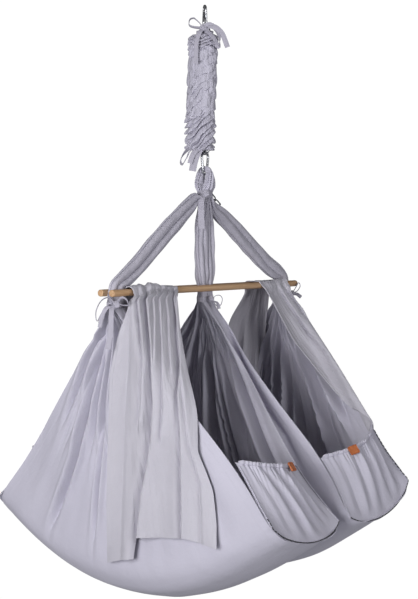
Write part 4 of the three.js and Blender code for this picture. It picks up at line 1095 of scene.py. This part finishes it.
def base_point(bed, u, across):
    u, across = np.broadcast_arrays(np.asarray(u, float), np.asarray(across, float))
    point = mix(bed_edge(bed, True, across), bed_edge(bed, False, across), u[..., None])
    sag = mix(BED_SAG, BED_END_SAG, np.abs(across) ** EDGE_CURVE)
    point[..., 2] -= sag * (1 if bed < 0 else RIGHT_SAG_SHARE) * hump(u) + BASE_LIFT
    point[..., 1] += np.sign(across) * POCKET_BULGE * END_BULGE_SHARE * hump(u) * across**6
    return point


PATH_REACH = [0.0, 0.15, 0.35, 0.6, 1.0]


def crease(across, reach, path, start, end, depth, width, lean=1.8):
    """One long valley with a soft lip on each side. path gives its place across at PATH_REACH."""
    middle = np.interp(reach, PATH_REACH, path)
    half = mix(NECK_HALF_DEPTH, BED_HALF_LENGTH, reach)
    t = (across - middle) * half / np.minimum(width, half * 0.11)
    along = smooth((reach - start) / 0.07) * (1 - smooth((reach - end + 0.25) / 0.25))
    valley = np.exp(-np.abs(t) ** 1.05 * np.where(t > 0, 1, lean))
    lips = np.exp(-((np.abs(t) - 2.4) / 1.1) ** 2)
    return np.minimum(depth, half * 0.35) * along * (0.3 * lips - valley)


def gather_pleats(seed, across, reach, height, count=9):
    """The accordion pleats at the gather: all of them start together and each fades at its own rate."""
    fade = 0.085 + 0.05 * (1 + wander(seed, across * 2.2))
    wave = np.sin(math.pi * count * (across + 0.04 * wander(seed + 1, across * 2)))
    wave = np.sign(wave) * np.abs(wave) ** 0.75
    return height * np.exp(-np.clip(reach, 0, 1) / fade) * wave


def long_folds(seed, across, reach, count, depth, width, furthest):
    """Long folds at uneven places that run from the gather nearly to the bed."""
    chance = np.random.default_rng(seed)
    total = 0 * (across + reach)
    for k in range(count):
        place = mix(-0.86, 0.86, (k + 0.5 + chance.uniform(-0.25, 0.25)) / count)
        sway = chance.uniform(-0.05, 0.05, 3)
        path = [place, place + sway[0] * 0.5, place + sway[0], place + sway[1], place + sway[2]]
        end = chance.uniform(0.65, furthest)
        total = total + crease(
            across, reach, path, 0.0, end, depth * chance.uniform(0.6, 1.25),
            width * chance.uniform(0.7, 1.4), chance.choice([0.6, 1.0, 1.8]))
    return total


# Creases of the left sling's outer side, from head to foot: places across at PATH_REACH, start, end,
# depth and width
LEFT_OUTER_CREASES = (
    ((0.72, 0.87, 0.83, 0.82, 0.82), 0.0, 0.6, 22, 5),
    ((0.93, 0.65, 0.59, 0.55, 0.62), 0.0, 1.0, 30, 6),
    ((0.45, 0.45, 0.42, 0.40, 0.40), 0.0, 0.65, 16, 5),
    ((0.14, 0.19, 0.25, 0.23, 0.23), 0.0, 0.95, 26, 5.5),
    ((-0.2, -0.15, -0.1, -0.1, -0.1), 0.0, 0.6, 9, 10),
    ((-0.55, -0.5, -0.45, -0.45, -0.45), 0.0, 0.6, 9, 10),
    ((-0.9, -0.8, -0.72, -0.68, -0.68), 0.0, 0.5, 8, 9),
)


def side_folds(bed, outer, across, reach):
    """How far the cloth is pushed along +X or -X, away from the bed's middle."""
    if outer and bed < 0:
        total = gather_pleats(31, across, reach, OUTER_PLEAT)
        for path, start, end, depth, width in LEFT_OUTER_CREASES:
            total = total + crease(across, reach, path, start, end, depth, width)
        total = total + long_folds(41, across, reach, 11, 9, 6, 0.8)
        low = smooth((reach - 0.45) / 0.2)
        total = total + low * 3.2 * wander(47, across * 6.5, reach * 0.8)
        foot = smooth((-across - 0.86) / 0.08) * smooth((reach - 0.72) / 0.12)
        foot = foot * (1 - smooth((reach - 0.97) / 0.03))
        total = total + foot * 2.2 * np.sin(reach * 75 + across * 26)
    elif outer:
        total = gather_pleats(33, across, reach, OUTER_PLEAT)
        total = total + long_folds(44, across, reach, 13, 30, 6.5, 1.2)
    else:
        seed = 51 if bed < 0 else 58
        total = gather_pleats(seed, across, reach, INNER_PLEAT)
        total = total - long_folds(seed + 1, across, reach, 13, 30, 6.5, 1.25)
    middle = smooth(reach / 0.2)
    total = total + middle * 1.6 * wander(61 + bed, across * 3.1, reach * 1.4)
    sewn_edge = smooth((np.abs(across) - 0.9) / 0.08) * smooth((reach - 0.6) / 0.1)
    return total * (1 - sewn_edge) * (1 if outer else -1)


WRAP = 0.33
WRAP_ROWS = 14
NECK_ROWS = 8
FAN_ROWS = 118
SIDE_COLUMNS = 281
COLUMN_CROWDING = 1.25
CORNER_ROWS = 30
HEM_WIDTH = 15
EDGE_OVER = 0.011


def sling_side(bed, outer):
    """The whole side: its neck between the rods, the fan, and a turn-under that laps the base."""
    across = np.sin(np.linspace(-1, 1, SIDE_COLUMNS) * COLUMN_CROWDING) / math.sin(COLUMN_CROWDING)
    across = across[None, :]
    level = np.linspace(0, 1, NECK_ROWS, endpoint=False)[:, None]
    between = ROD_GAP / 2 - CLEARANCE
    half = mix(between, NECK_HALF_DEPTH, smooth((level - 0.3) / 0.4))
    push = bed * side_folds(bed, outer, across, 0 * level)
    neck = points_of(bed * neck_x(outer) + push, across * half, -mix(1, NECK_DROP, level))
    reach = np.linspace(0, 1, FAN_ROWS)[:, None] ** 1.4
    fan = fan_point(bed, outer, across, reach)
    fan[..., 1] *= 1 + EDGE_OVER * smooth((reach - 0.5) / 0.2) * smooth((-across - 0.9) / 0.1)
    settled = 1 - smooth((reach - 0.88) / 0.1)
    fan[..., 0] += bed * side_folds(bed, outer, across, reach) * settled
    turn_out = np.exp(-(1 - np.abs(across)) * mix(NECK_HALF_DEPTH, BED_HALF_LENGTH, reach) / 7)
    fan[..., 0] += bed * (1 if outer else -1) * 2.5 * turn_out * smooth(reach / 0.15) * settled
    under = np.linspace(0, WRAP, WRAP_ROWS + 1)[1:, None]
    lap = base_point(bed, under if outer else 1 - under, across)
    lap[..., 1] += fan[-1, :, 1] - across * BED_HALF_LENGTH
    lap[..., 2] -= mix(1.2, -1.0, smooth(under / WRAP * 1.6 - 0.6))
    grid = np.concatenate([neck, fan, lap])
    corner = slice(NECK_ROWS + FAN_ROWS - CORNER_ROWS, None)
    rounded = grid[corner].copy()
    for _ in range(36):
        rounded[1:-1] = (rounded[:-2] + 2 * rounded[1:-1] + rounded[2:]) / 4
    lapped = smooth((np.arange(len(rounded)) - CORNER_ROWS - 1) / 6)[:, None, None]
    grid[corner] = mix(rounded, grid[corner], lapped)
    rows = np.concatenate([0 * level, reach, 1 + under])
    wall = mix(0.5, 1.3, smooth(rows / 0.15)) + 0 * across
    from_edge = (1 - np.abs(across)) * mix(NECK_HALF_DEPTH, BED_HALF_LENGTH, np.minimum(rows, 1))
    wall = wall + 0.9 * smooth(rows / 0.1) * (1 - smooth((from_edge - HEM_WIDTH) / 1.5))
    last_rows = smooth((np.arange(len(rows))[:, None] - len(rows) + 5) / 4)
    wall = wall * (1 - 0.8 * smooth((rows - 1) / 0.05) * last_rows)
    name = f"{'left' if bed < 0 else 'right'}_{'outer' if outer else 'inner'}_side"
    return name, cloth(f"{name}_cloth", grid[:, ::-1 if bed > 0 else 1] + CRADLE, wall, sling_cotton)


for bed in (-1, 1):
    for outer in (True, False):
        name, side = sling_side(bed, outer)
        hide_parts(name)
        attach(side, "cradle")


# Bases: the same cloth under each mattress, hung between the sides and rounded by the mattress's
# weight. Its long edges are lapped by the sides and sewn.
BASE_CLOTH = 1.3
BASE_START = 0.21
BASE_COLUMNS = 50
BASE_ROWS = 130
for bed, name in ((-1, "left_base"), (1, "right_base")):
    u = np.linspace(BASE_START, 1 - BASE_START, BASE_COLUMNS)[None, :]
    across = np.linspace(-1, 1, BASE_ROWS)[:, None]
    grid = base_point(bed, u, across)
    grid[..., 2] += 1.6 * wander(71 + bed, u * 2.4, across * 3.2) * smooth((hump(u) - 0.88) / 0.1)
    base = cloth(f"{name}_cloth", grid[:, ::bed] + CRADLE, BASE_CLOTH, sling_cotton)
    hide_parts(name)
    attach(base, "cradle")


# Pockets: the end cloths of each bed, of the same cotton, sewn to base and sides. Their top edge is
# turned over an elastic, which draws it in and lays folds and puckers in the cloth below.
HEM_REACH = 1 - POCKET_RISE / BED_END_DROP
HEM_CLOTH = 1.0
HEM_HALF_HEIGHT = 4.2
HEM_HALF_DEPTH = 2.2
HEM_LIFT = 0.4
POCKET_MESH = {"foot": (180, 80), "head": (100, 50)}
HEM_ROWS = {"foot": 260, "head": 150}
POCKET_CORNER_LIFT = 15
CORNER_ROUND = 30
CORNER_TUCK = 5


def pocket_point(bed, end, u, v):
    u, v = np.broadcast_arrays(np.asarray(u, float), np.asarray(v, float))
    reach = mix(1, HEM_REACH, v)
    inset = CLOTH_THICKNESS / 2 + 3 * CLEARANCE
    outer = fan_point(bed, True, end, reach)
    inner = fan_point(bed, False, end, reach)
    outer[..., 0] -= bed * inset
    inner[..., 0] += bed * inset
    point = mix(outer, inner, u[..., None])
    bulge = mix(END_BULGE_SHARE, 1, np.sin(math.pi / 2 * np.clip(v, 0, 1)))
    point[..., 1] += end * POCKET_BULGE * bulge * hump(u)
    point[..., 2] -= BED_END_SAG * hump(u) * np.clip(1 - v, 0, 1) ** 1.5
    lift = POCKET_CORNER_LIFT if end < 0 else 0
    point[..., 2] += lift * np.clip(1 - u, 0, 1) ** 2.5 * np.clip(v, 0, 1) ** 2
    up = np.clip(v, 0, 1) * POCKET_RISE / CORNER_ROUND
    for share, way in ((u, -bed), (1 - u, bed)):
        near = np.exp(-((np.clip(share, 0, 1) * (BED_OUTER - BED_INNER) / CORNER_ROUND) ** 2) - up * up)
        point[..., 0] += way * CORNER_TUCK * near
        point[..., 2] += CORNER_TUCK * near
    return point


# Folds below the elastic: place at the hem, place at the seam, depth and width as shares of the bed
POCKET_FOLDS = {
    -1: ((0.12, 0.3, 3, 0.03), (0.24, 0.52, 6, 0.035), (0.42, 0.72, 8, 0.045), (0.58, 0.86, 6, 0.04),
         (0.8, 0.95, 4, 0.03)),
    1: ((0.16, 0.12, 5, 0.04), (0.32, 0.3, 7, 0.045), (0.5, 0.46, 8, 0.05), (0.66, 0.62, 6, 0.04),
        (0.84, 0.8, 5, 0.035)),
}


def pocket_wrinkles(bed, end, u, v):
    drawn = u * 26 + 0.8 * wander(83 + bed + end, u * 5)
    gathers = 2.0 * np.sin(2 * math.pi * drawn) * np.clip(v, 0, 1) ** 5
    total = gathers + 1.6 * wander(87 + bed + end, u * 3, v * 1.2)
    for top, foot, depth, width in POCKET_FOLDS[bed]:
        t = (u - mix(foot, top, v)) / (width * mix(1.5, 0.8, v))
        strength = smooth(v / 0.25) * (1 - 0.35 * smooth((v - 0.75) / 0.25))
        lips = 0.45 * np.exp(-((np.abs(t) - 1.9) / 0.8) ** 2)
        total = total - depth * strength * (np.exp(-np.abs(t) ** 1.5) - lips)
    return end * total * np.clip(4 * hump(u), 0, 1)


def hem_point(bed, end, u):
    point = pocket_point(bed, end, u, 1)
    point[..., 2] += HEM_DIAMETER / 2 + HEM_LIFT
    return point


for bed, side in ((-1, "left"), (1, "right")):
    for end, level in ((-1, "foot"), (1, "head")):
        columns, rows = POCKET_MESH[level]
        u = np.linspace(0.004, 0.996, columns)[None, :]
        v = np.linspace(-0.02, 1.02, rows)[:, None]
        grid = pocket_point(bed, end, u, v)
        grid[..., 1] += pocket_wrinkles(bed, end, u, v)
        pocket = cloth(
            f"{side}_{level}_pocket_cloth", grid[:, ::bed * end] + CRADLE, SLING_CLOTH, sling_cotton)
        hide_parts(f"{side}_{level}_pocket")
        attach(pocket, "cradle")

        # The elastic's channel: the pocket's top edge turned over and drawn into small puckers
        along = np.linspace(0.025, 0.985, HEM_ROWS[level])
        line = hem_point(bed, end, along)
        line[:, 1] += 0.6 * pocket_wrinkles(bed, end, along, 0 * along + 1)
        way = unit(np.gradient(line, axis=0))
        up = unit(np.array([0, 0, 1.0]) - way * way[:, 2:3])
        out = np.cross(way, up)
        taper = np.clip(hump(np.linspace(0, 1, HEM_ROWS[level])) * 12, 0.25, 1)[:, None]
        pucker = 0.5 * np.sin(2 * math.pi * (along * 44 + wander(91, along * 6)))
        channel = bundle(
            line, up * HEM_HALF_HEIGHT * taper, out * HEM_HALF_DEPTH * taper, 2.2,
            lambda angle, t: pucker[:, None] * (0.7 + 0.3 * np.cos(angle)) + 0.2 * wander(92, t * 30, angle),
            24)
        hem = cloth(f"{side}_{level}_hem_cloth", channel + CRADLE, HEM_CLOTH, sling_cotton, loop=True)
        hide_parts(f"{side}_{level}_hem")
        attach(hem, "cradle")

# Seams: each pocket's raw edge is bound to base and sides in a narrow roll of the same cotton,
# overcast by hand in black thread with one long stitch beside the other.
SEAM_ROLL = 1.3
SEAM_OUT = 1.6
STITCH_LENGTH = 8
STITCH_PITCH = 10.5
STITCH_THICKNESS = 1.45
STITCH_OUT = 0.2
STITCH_LOW = 0.5


def thread_tone(s):
    place = s.add("ShaderNodeTexCoord", output=3)
    return {"Base Color": s.noise(place, 700, 2).tint((0.02, 0.02, 0.024), (0.07, 0.07, 0.08))}


black_thread = finish("black_thread", thread_tone, Roughness=0.8)
for bed, side in ((-1, "left"), (1, "right")):
    for end, level in ((-1, "foot"), (1, "head")):
        clear = max(0, -end)
        outer_run = pocket_point(bed, end, 0.01, np.linspace(0.97, 0.03, 60)) + [0, end * clear, 0]
        foot_run = pocket_point(bed, end, np.linspace(0.01, 0.99, 160), 0.005)
        inner_run = pocket_point(bed, end, 0.99, np.linspace(0.03, 0.97, 60))
        line = evenly(np.concatenate([outer_run, foot_run, inner_run]), 2.2)
        line[:, 1] += end * SEAM_OUT
        for _ in range(10):
            line[1:-1] = (line[:-2] + 2 * line[1:-1] + line[2:]) / 4
        wavy = 0.35 * wander(95 + bed + end, np.arange(len(line)) * 0.12)[:, None]
        points, faces = wire_along(line + wavy + CRADLE, SEAM_ROLL, 8)
        roll = mesh_piece(f"{side}_{level}_seam", points, faces, sling_cotton)
        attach(roll, "cradle")
        run = np.concatenate([[0], np.cumsum(np.linalg.norm(np.diff(line, axis=0), axis=1))])
        sewn_run = run[-1] * (1 - len(inner_run) / (len(outer_run) + len(foot_run) + len(inner_run)) * 1.25)
        hidden = run[len(outer_run)] if bed < 0 else 4
        starts = np.arange(hidden, sewn_run, STITCH_PITCH)
        threads = []
        for start in starts:
            marks = start + np.linspace(0, STITCH_LENGTH, 6)
            dash = np.stack([np.interp(marks, run, line[:, k]) for k in range(3)], 1)
            dash = dash + [0, end * (SEAM_ROLL + STITCH_OUT), -STITCH_LOW]
            corners, dash_faces = wire_along(dash + CRADLE, STITCH_THICKNESS, 6)
            threads.append((corners, dash_faces))
        counts = np.cumsum([0] + [len(corners) for corners, _ in threads])
        faces = [tuple(i + start for i in face) for (_, some), start in zip(threads, counts) for face in some]
        stitches = mesh_piece(
            f"{side}_{level}_stitches", np.concatenate([corners for corners, _ in threads]), faces,
            black_thread)
        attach(stitches, "cradle")


# Tabs: a bare piece of tan leather on each foot hem, cut with rounded corners and eased edges, and
# fixed to the front of the hem.
TAB_WIDTH = 28
TAB_HEIGHT = 22
TAB_THICKNESS = 2
TAB_CORNER = 3
TAB_EDGE = 0.6
TAB_STANDOFF = 0.9
TAB_SHARE = 0.665


def leather_grain(s):
    place = s.add("ShaderNodeTexCoord", output=3)
    pores = s.add("ShaderNodeTexVoronoi", {}, {"Vector": place, "Scale": 1400})
    tone = s.noise(place, 120, 4)
    return {
        "Base Color": tone.band(0.25, 0.75).tint((0.42, 0.115, 0.035), (0.58, 0.19, 0.07)),
        "Roughness": tone * 0.2 + 0.42,
        "Normal": s.bump(pores + tone, 0.0003, 0.7),
    }


tan_leather = finish("tan_leather", leather_grain, Specular_IOR_Level=0.4)
for bed, side in ((-1, "left"), (1, "right")):
    at = hem_point(bed, -1, TAB_SHARE)
    along = unit(hem_point(bed, -1, TAB_SHARE + 0.04) - at)
    upward = unit(pocket_point(bed, -1, TAB_SHARE, 1) - pocket_point(bed, -1, TAB_SHARE, 0.8))
    normal = unit(np.cross(along, upward))
    normal = -normal if normal[1] > 0 else normal
    upward = np.cross(normal, along)
    upward = -upward if upward[2] < 0 else upward
    at = at + normal * (HEM_DIAMETER / 2 + TAB_THICKNESS / 2 + TAB_STANDOFF)
    at = at + upward * (HEM_DIAMETER - TAB_HEIGHT) / 2 + CRADLE
    right = np.cross(upward, normal)
    turn = Matrix([[*row] for row in np.stack([right, upward, normal], 1)]).to_4x4()
    bpy.ops.mesh.primitive_cube_add(size=1)
    tab = bpy.context.object
    tab.scale = (TAB_WIDTH * MM, TAB_HEIGHT * MM, TAB_THICKNESS * MM)
    bpy.ops.object.transform_apply(scale=True)
    for width, segments, upright in ((TAB_CORNER, 5, True), (TAB_EDGE, 3, False)):
        bpy.ops.object.mode_set(mode="EDIT")
        bpy.ops.mesh.select_all(action="DESELECT")
        bpy.ops.object.mode_set(mode="OBJECT")
        for edge in tab.data.edges:
            a, b = (tab.data.vertices[i].co for i in edge.vertices)
            edge.select = upright == (abs((a - b).z) > 0.001)
        bpy.ops.object.mode_set(mode="EDIT")
        bpy.ops.mesh.bevel(offset=width * MM, segments=segments)
        bpy.ops.object.mode_set(mode="OBJECT")
    bpy.ops.object.shade_smooth_by_angle(angle=0.7)
    tab.data.materials.append(tan_leather)
    settle(tab, f"{side}_tab_leather", Matrix.Translation(Vector(at * MM)) @ turn)
    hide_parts(f"{side}_tab")
    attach(tab, "cradle")


# Mattresses: a flat soft pad sewn up in undyed cotton, crowned by its filling. It lies loose in the
# bottom of each sling and takes the curve of the base.
MATTRESS_WIDTH = 262
MATTRESS_LENGTH = 700
MATTRESS_THICKNESS = 34
MATTRESS_CROWN = 5
MATTRESS_INSET = 8
MATTRESS_ROWS = 90
MATTRESS_SIDES = 64
undyed_cotton = cotton("undyed_cotton", (0.66, 0.63, 0.58), (0.78, 0.75, 0.70))
for bed, name in ((-1, "left_mattress"), (1, "right_mattress")):
    along = np.linspace(-1, 1, MATTRESS_ROWS)[:, None]
    turn = np.linspace(0, 2 * math.pi, MATTRESS_SIDES, endpoint=False)[None, :]
    ease = (1 - 0.999 * np.abs(along) ** 26) ** 0.5
    flat = np.sign(np.cos(turn)) * np.abs(np.cos(turn)) ** 0.5
    deep = np.sign(np.sin(turn)) * np.abs(np.sin(turn)) ** 0.8
    u = 0.5 + flat * (MATTRESS_WIDTH / 2 - MATTRESS_INSET) * mix(0.94, 1, ease) / (BED_OUTER - BED_INNER)
    across = along * MATTRESS_LENGTH / 2 / BED_HALF_LENGTH
    grid = base_point(bed, u, across + 0 * u)
    grid[..., 1] = along * MATTRESS_LENGTH / 2
    middle = CLOTH_THICKNESS * 1.6 + MATTRESS_THICKNESS / 2
    puff = MATTRESS_CROWN * np.clip(hump(u), 0, 1) * (deep > 0)
    grid[..., 2] += middle + deep * ease * (MATTRESS_THICKNESS / 2 - 1) + puff * ease
    rows, width = grid.shape[:2]
    number = np.arange(rows * width).reshape(rows, width)
    quads = np.stack([number[:-1], np.roll(number, -1, 1)[:-1], np.roll(number, -1, 1)[1:], number[1:]], -1)
    faces = quads.reshape(-1, 4)[:, ::bed].tolist() + [number[0][::-bed].tolist(), number[-1][::bed].tolist()]
    pad = mesh_piece(f"{name}_pad", (grid + CRADLE).reshape(-1, 3), faces, undyed_cotton)
    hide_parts(name)
    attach(pad, "cradle")


# Veils: a long loose cloth thrown over both rods of each sling. Its front half goes over the foot
# edge of the outer side and hangs outside, its rear half hangs inside. Plain hems all round.
VEIL_LEFT_INNER = 157
VEIL_RIGHT_INNER = 212
VEIL_DROP = 628
VEIL_REAR_DROP = 300
VEIL_STANDOFF = 26
VEIL_FOLD = 8
VEIL_FULLNESS = 16
veil_rod_radius = ROD_DIAMETER / 2 + CLEARANCE + CLOTH_THICKNESS / 2 + 0.3
veil_outer_x = GATHER_REACH - GATHER_WIDTH / 2 - CLOTH_THICKNESS
veil_cotton = cotton("veil_cotton", (0.455, 0.441, 0.497), (0.535, 0.520, 0.582), 9, 0.012)


def over_rod(x, y, angle):
    return points_of(x, y - np.sin(angle) * veil_rod_radius, np.cos(angle) * veil_rod_radius)


def veil_lines(side, inner_x, hem_end, u):
    """The turning points of every column, from the front hem up, over the rods and down the rear."""
    x = side * mix(veil_outer_x, inner_x, u)
    wave = np.sin(u * 6 * math.pi)
    crossing = fan_point(side, True, -1, mix(0.1, hem_end, u))
    over = crossing + [side * 3, -CLOTH_THICKNESS * 6, CLOTH_THICKNESS * 4]
    shoulder = crossing + [side * VEIL_STANDOFF * 0.7, -VEIL_STANDOFF * 0.5, -VEIL_STANDOFF * 1.6]
    forward = mix(VEIL_STANDOFF, -BED_HALF_LENGTH * 0.68, u)
    foot = points_of(shoulder[:, 0] + side * VEIL_FOLD, forward, -VEIL_DROP)
    foot[:, 2] += VEIL_STANDOFF * smooth(np.minimum(1, u * 3))
    lines = []
    for share in (0, 0.2, 0.4, 0.6, 0.8):
        lines.append(mix(foot, shoulder, share))
    front = over_rod(x, -rod_y, math.pi / 2)
    lines += [shoulder, over]
    for share in (0.3, 0.65):
        point = mix(over, front, share)
        point[:, 2] -= VEIL_FOLD * hump(share)
        point[:, 0] += side * VEIL_FULLNESS * hump(share) * u
        lines.append(point)
    angles = [math.radians(a) for a in (90, 60, 30, 0)]
    lines += [over_rod(x, -rod_y, a) for a in angles]
    lines += [over_rod(x, rod_y, -a) for a in angles[::-1]]
    back = over_rod(x, rod_y, -math.pi / 2)
    tail = points_of(x + side * VEIL_FOLD * wave, back[:, 1] + VEIL_STANDOFF, -VEIL_REAR_DROP)
    for share in (0.12, 0.4, 0.7, 1):
        point = mix(back, tail, share)
        point[:, 1] += wave * VEIL_FOLD * share
        lines.append(point)
    return np.stack(lines)


# How each veil hangs, measured as it is seen: pairs of height and distance to the right of the
# hanging line. First its two edges, then its folds with their depth, their slow and their steep side.
VEIL_EDGES = {
    -1: (
        ((-612, -222), (-466, -222), (-324, -218), (-183, -213), (-102, -197), (-30, -170), (10, -161)),
        ((-571, 25), (-504, 25), (-432, 18), (-394, 4), (-347, -16), (-268, -17), (-239, -22), (-174, -38),
         (-89, -54), (10, -65)),
    ),
}
VEIL_HEM = {-1: ((0, -618), (0.15, -606), (0.25, -601), (0.27, -552), (0.5, -544), (0.72, -540), (1, -556))}
# The band between the rods and the side's front hem, for the veil whose inner edge shows there
BAND_EDGE = {1: ((-370, 402), (-343, 388), (-141, 224), (-3, 150), (10, 138))}
BAND_REACH = {-1: 0.46, 1: 0.68}
VEIL_FOLDS = {
    -1: (
        (((-620, -160), (-455, -143), (-390, -131), (-318, -120), (-244, -115), (-185, -118), (-120, -122),
          (-62, -129), (17, -139)), 27, 13, 3.0),
        (((-620, -52), (-381, -54), (-289, -56), (-226, -61), (-152, -56), (-62, -66), (17, -80)),
         18, 9, 2.6),
        (((-300, -148), (-262, -144), (-152, -137), (-60, -148), (17, -158)), 15, 8, 3.0),
        (((-330, -98), (-250, -92), (-120, -97), (17, -108)), 10, 8, 3.0),
        (((-180, -76), (-60, -84), (17, -94)), 8, 6, 3.0),
        (((-150, -112), (-60, -114), (17, -122)), 8, 6, 3.0),
        (((-620, -6), (-420, -12), (-330, -36), (-200, -52), (-100, -66)), 7, 8, 3.0),
        (((-620, -190), (-400, -184), (-220, -176), (-100, -170)), 6, 14, 6.0),
    ),
    1: (
        (((-560, 560), (-220, 352), (-110, 277), (-2, 198)), 16, 13, 4.0),
        (((-560, 500), (-172, 300), (-115, 253), (-8, 182)), 12, 11, 4.0),
    ),
}
VEIL_CLOTH = 1.1
VEIL_ROWS = 192
VEIL_COLUMNS = 186
# A row of the front half, that tells which way its outer face looks, the mark in veil_lines at the
# sling's edge, and the shares of the way where the veil lies over the rods and of its hems
FRONT_ROW = 40
EDGE_MARK = 6
RODS_SHARE = 0.64
SIDE_HEM = 0.035
END_HEM = 0.012
VEIL_LEAST = 2.5
VEIL_CLEAR = 3.5
VEIL_LOOSE = 7
VEIL_CREST = 13
REAR_SPREAD = 42


def at_level(path, level):
    levels, places = zip(*path)
    return np.interp(level, levels, places)


def side_x(bed, point):
    """How far out the outer side's cloth lies beside a point, and how surely there is cloth there."""
    y, level = point[..., 1], point[..., 2]
    reach = np.full(level.shape, 0.5)
    for _ in range(8):
        beside = y / mix(NECK_HALF_DEPTH, BED_HALF_LENGTH, reach)
        across = np.clip(beside, -1, 1)
        reach = np.clip((level + NECK_DROP) / (bed_edge(bed, True, across)[..., 2] + NECK_DROP), 0, 1)
    sure = smooth((beside + 1) / 0.04) * smooth((-NECK_DROP - level) / 10)
    pleated = smooth((reach - 0.12) / 0.15)
    stand = 12 * np.exp(-reach / 0.1)
    return fan_point(bed, True, across, reach)[..., 0] + bed * (
        stand + pleated * side_folds(bed, True, across, reach)), sure


for side, inner_x, name in ((-1, VEIL_LEFT_INNER, "left_veil"), (1, VEIL_RIGHT_INNER, "right_veil")):
    u = np.linspace(0, 1, VEIL_COLUMNS)
    marks = veil_lines(side, inner_x, BAND_REACH[side], u)
    grid = through(marks, VEIL_ROWS)
    crossing = np.linalg.norm(grid - marks[EDGE_MARK], axis=2).argmin(axis=0)[None, :] / (VEIL_ROWS - 1)
    u = u[None, :]
    run = np.linspace(0, 1, VEIL_ROWS)[:, None]
    on_rod = smooth((grid[..., 2] + 22) / 20)
    front = (run < RODS_SHARE) * (1 - on_rod)
    rear = (run >= RODS_SHARE) * (1 - on_rod)
    hanging = front * smooth((-grid[..., 2] - 150) / 250)
    outside = front if side < 0 else front * (1 - smooth((run - crossing + 0.02) / 0.02))
    if side in VEIL_HEM:
        hem_places, hem_levels = zip(*VEIL_HEM[side])
        foot = grid[0, :, 2]
        share = np.clip(grid[..., 2] / foot, 0, 1) ** 3 * front
        grid[..., 2] += share * (np.interp(u, hem_places, hem_levels) - foot)
    loose, sure = side_x(side, grid)
    close = np.minimum(side * grid[..., 0], side * loose + VEIL_LOOSE)
    grid[..., 0] = side * mix(side * grid[..., 0], close, sure * hanging)
    if side in BAND_EDGE:
        wanted = at_level(BAND_EDGE[side], grid[..., 2]) - grid @ ACROSS
        inside = smooth((run - crossing) / 0.03) * front * u
        grid[..., 1] += np.minimum(0, wanted) * inside / ACROSS[1]
    for _ in range(3):
        if side in VEIL_EDGES:
            left, right = (at_level(edge, grid[..., 2]) for edge in VEIL_EDGES[side])
            grid[..., 1] -= front * (mix(left, right, u) - grid @ ACROSS) / -ACROSS[1]
        for _ in range(4):
            eased = grid.copy()
            eased[1:-1] = (grid[:-2] + 2 * grid[1:-1] + grid[2:]) / 4
            grid = mix(grid, eased, front[..., None])
        cloth_x, sure = side_x(side, grid)
        short = np.maximum(0, side * cloth_x + VEIL_CLEAR - side * grid[..., 0]) * sure * outside
        for _ in range(12):
            short[1:-1, 1:-1] = (short[:-2, 1:-1] + short[2:, 1:-1] + short[1:-1, :-2] + short[1:-1, 2:]) / 4
        grid[..., 0] += side * short
    # The cloth is laid over the sling's edge and then eased, each place with those 2 rows and 5 columns off
    if side in VEIL_EDGES:
        free = front * smooth((-grid[..., 2] - 8) / 40) * smooth(run / 0.08)
        for _ in range(5):
            cloth_x, sure = side_x(side, grid)
            short = np.maximum(0, side * cloth_x + VEIL_CREST - side * grid[..., 0]) * sure * outside
            grid = grid + (short / (side * TOWARD[0]))[..., None] * TOWARD
            for _ in range(20):
                depth = grid @ TOWARD
                wide = np.pad(depth, ((2, 2), (5, 5)), mode="edge")
                eased = (wide[:-4, 5:-5] + wide[4:, 5:-5] + wide[2:-2, :-10] + wide[2:-2, 10:]) / 4
                grid = grid + ((eased - depth) * free)[..., None] * TOWARD
    normal = unit(np.cross(np.gradient(grid, axis=1), np.gradient(grid, axis=0)))
    outward = normal * (np.sign(normal[FRONT_ROW, VEIL_COLUMNS // 2, 0] * side) or 1)
    seen_way = unit(np.array([-0.9, -0.43, 0.15]) if side < 0 else TOWARD + UPWARD * 0.2)
    shown = front * (1 if side < 0 else smooth((grid[..., 2] + 470) / 60))
    outward = unit(mix(outward, seen_way, (shown * 0.9)[..., None]))
    push = 0 * run + 0 * u
    right_of = grid @ ACROSS
    for path, depth, slow, steep in VEIL_FOLDS[side]:
        t = right_of - at_level(path, grid[..., 2])
        reaches = smooth((grid[..., 2] - path[0][0] + 20) / 40) if path[0][0] > -500 else 1
        valley = np.where(t < 0, np.exp(-np.abs(t / slow) ** 1.3), np.exp(-(t / steep) ** 2))
        swell = np.exp(-(t / slow / np.where(t < 0, 2.4, 2.8)) ** 2)
        push = push + depth * (swell - valley) * reaches * mix(1, 0.3, on_rod) * (run < 0.66)
    broad = wander(98 + side, right_of / 95 + 0.3 * wander(96, run * 2), run * 1.5)
    push = push + 3.5 * (broad + 0.5) * front * smooth((-grid[..., 2] - 30) / 120)
    grid[..., 1] += REAR_SPREAD * rear * u**1.5 * smooth(-grid[..., 2] / 110) * (side > 0)
    push = push + rear * smooth((run - 0.66) / 0.08) * 7 * wander(97 + side, u * 3.2, run * 0.7)
    push = push + 0.9 * wander(99 + side, u * 3.4, run * 5)
    grid = grid + outward * push[..., None]
    cloth_x, sure = side_x(side, grid)
    short = np.maximum(0, side * cloth_x + VEIL_LEAST - side * grid[..., 0])
    grid[..., 0] += side * short * sure * outside
    hemmed = (u < SIDE_HEM) | (u > 1 - SIDE_HEM) | (run < END_HEM) | (run > 1 - END_HEM)
    wall = VEIL_CLOTH + VEIL_CLOTH * hemmed
    veil = cloth(f"{name}_cloth", grid[:, ::-side] + CRADLE, wall, veil_cotton)
    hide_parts(name)
    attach(veil, "cradle")
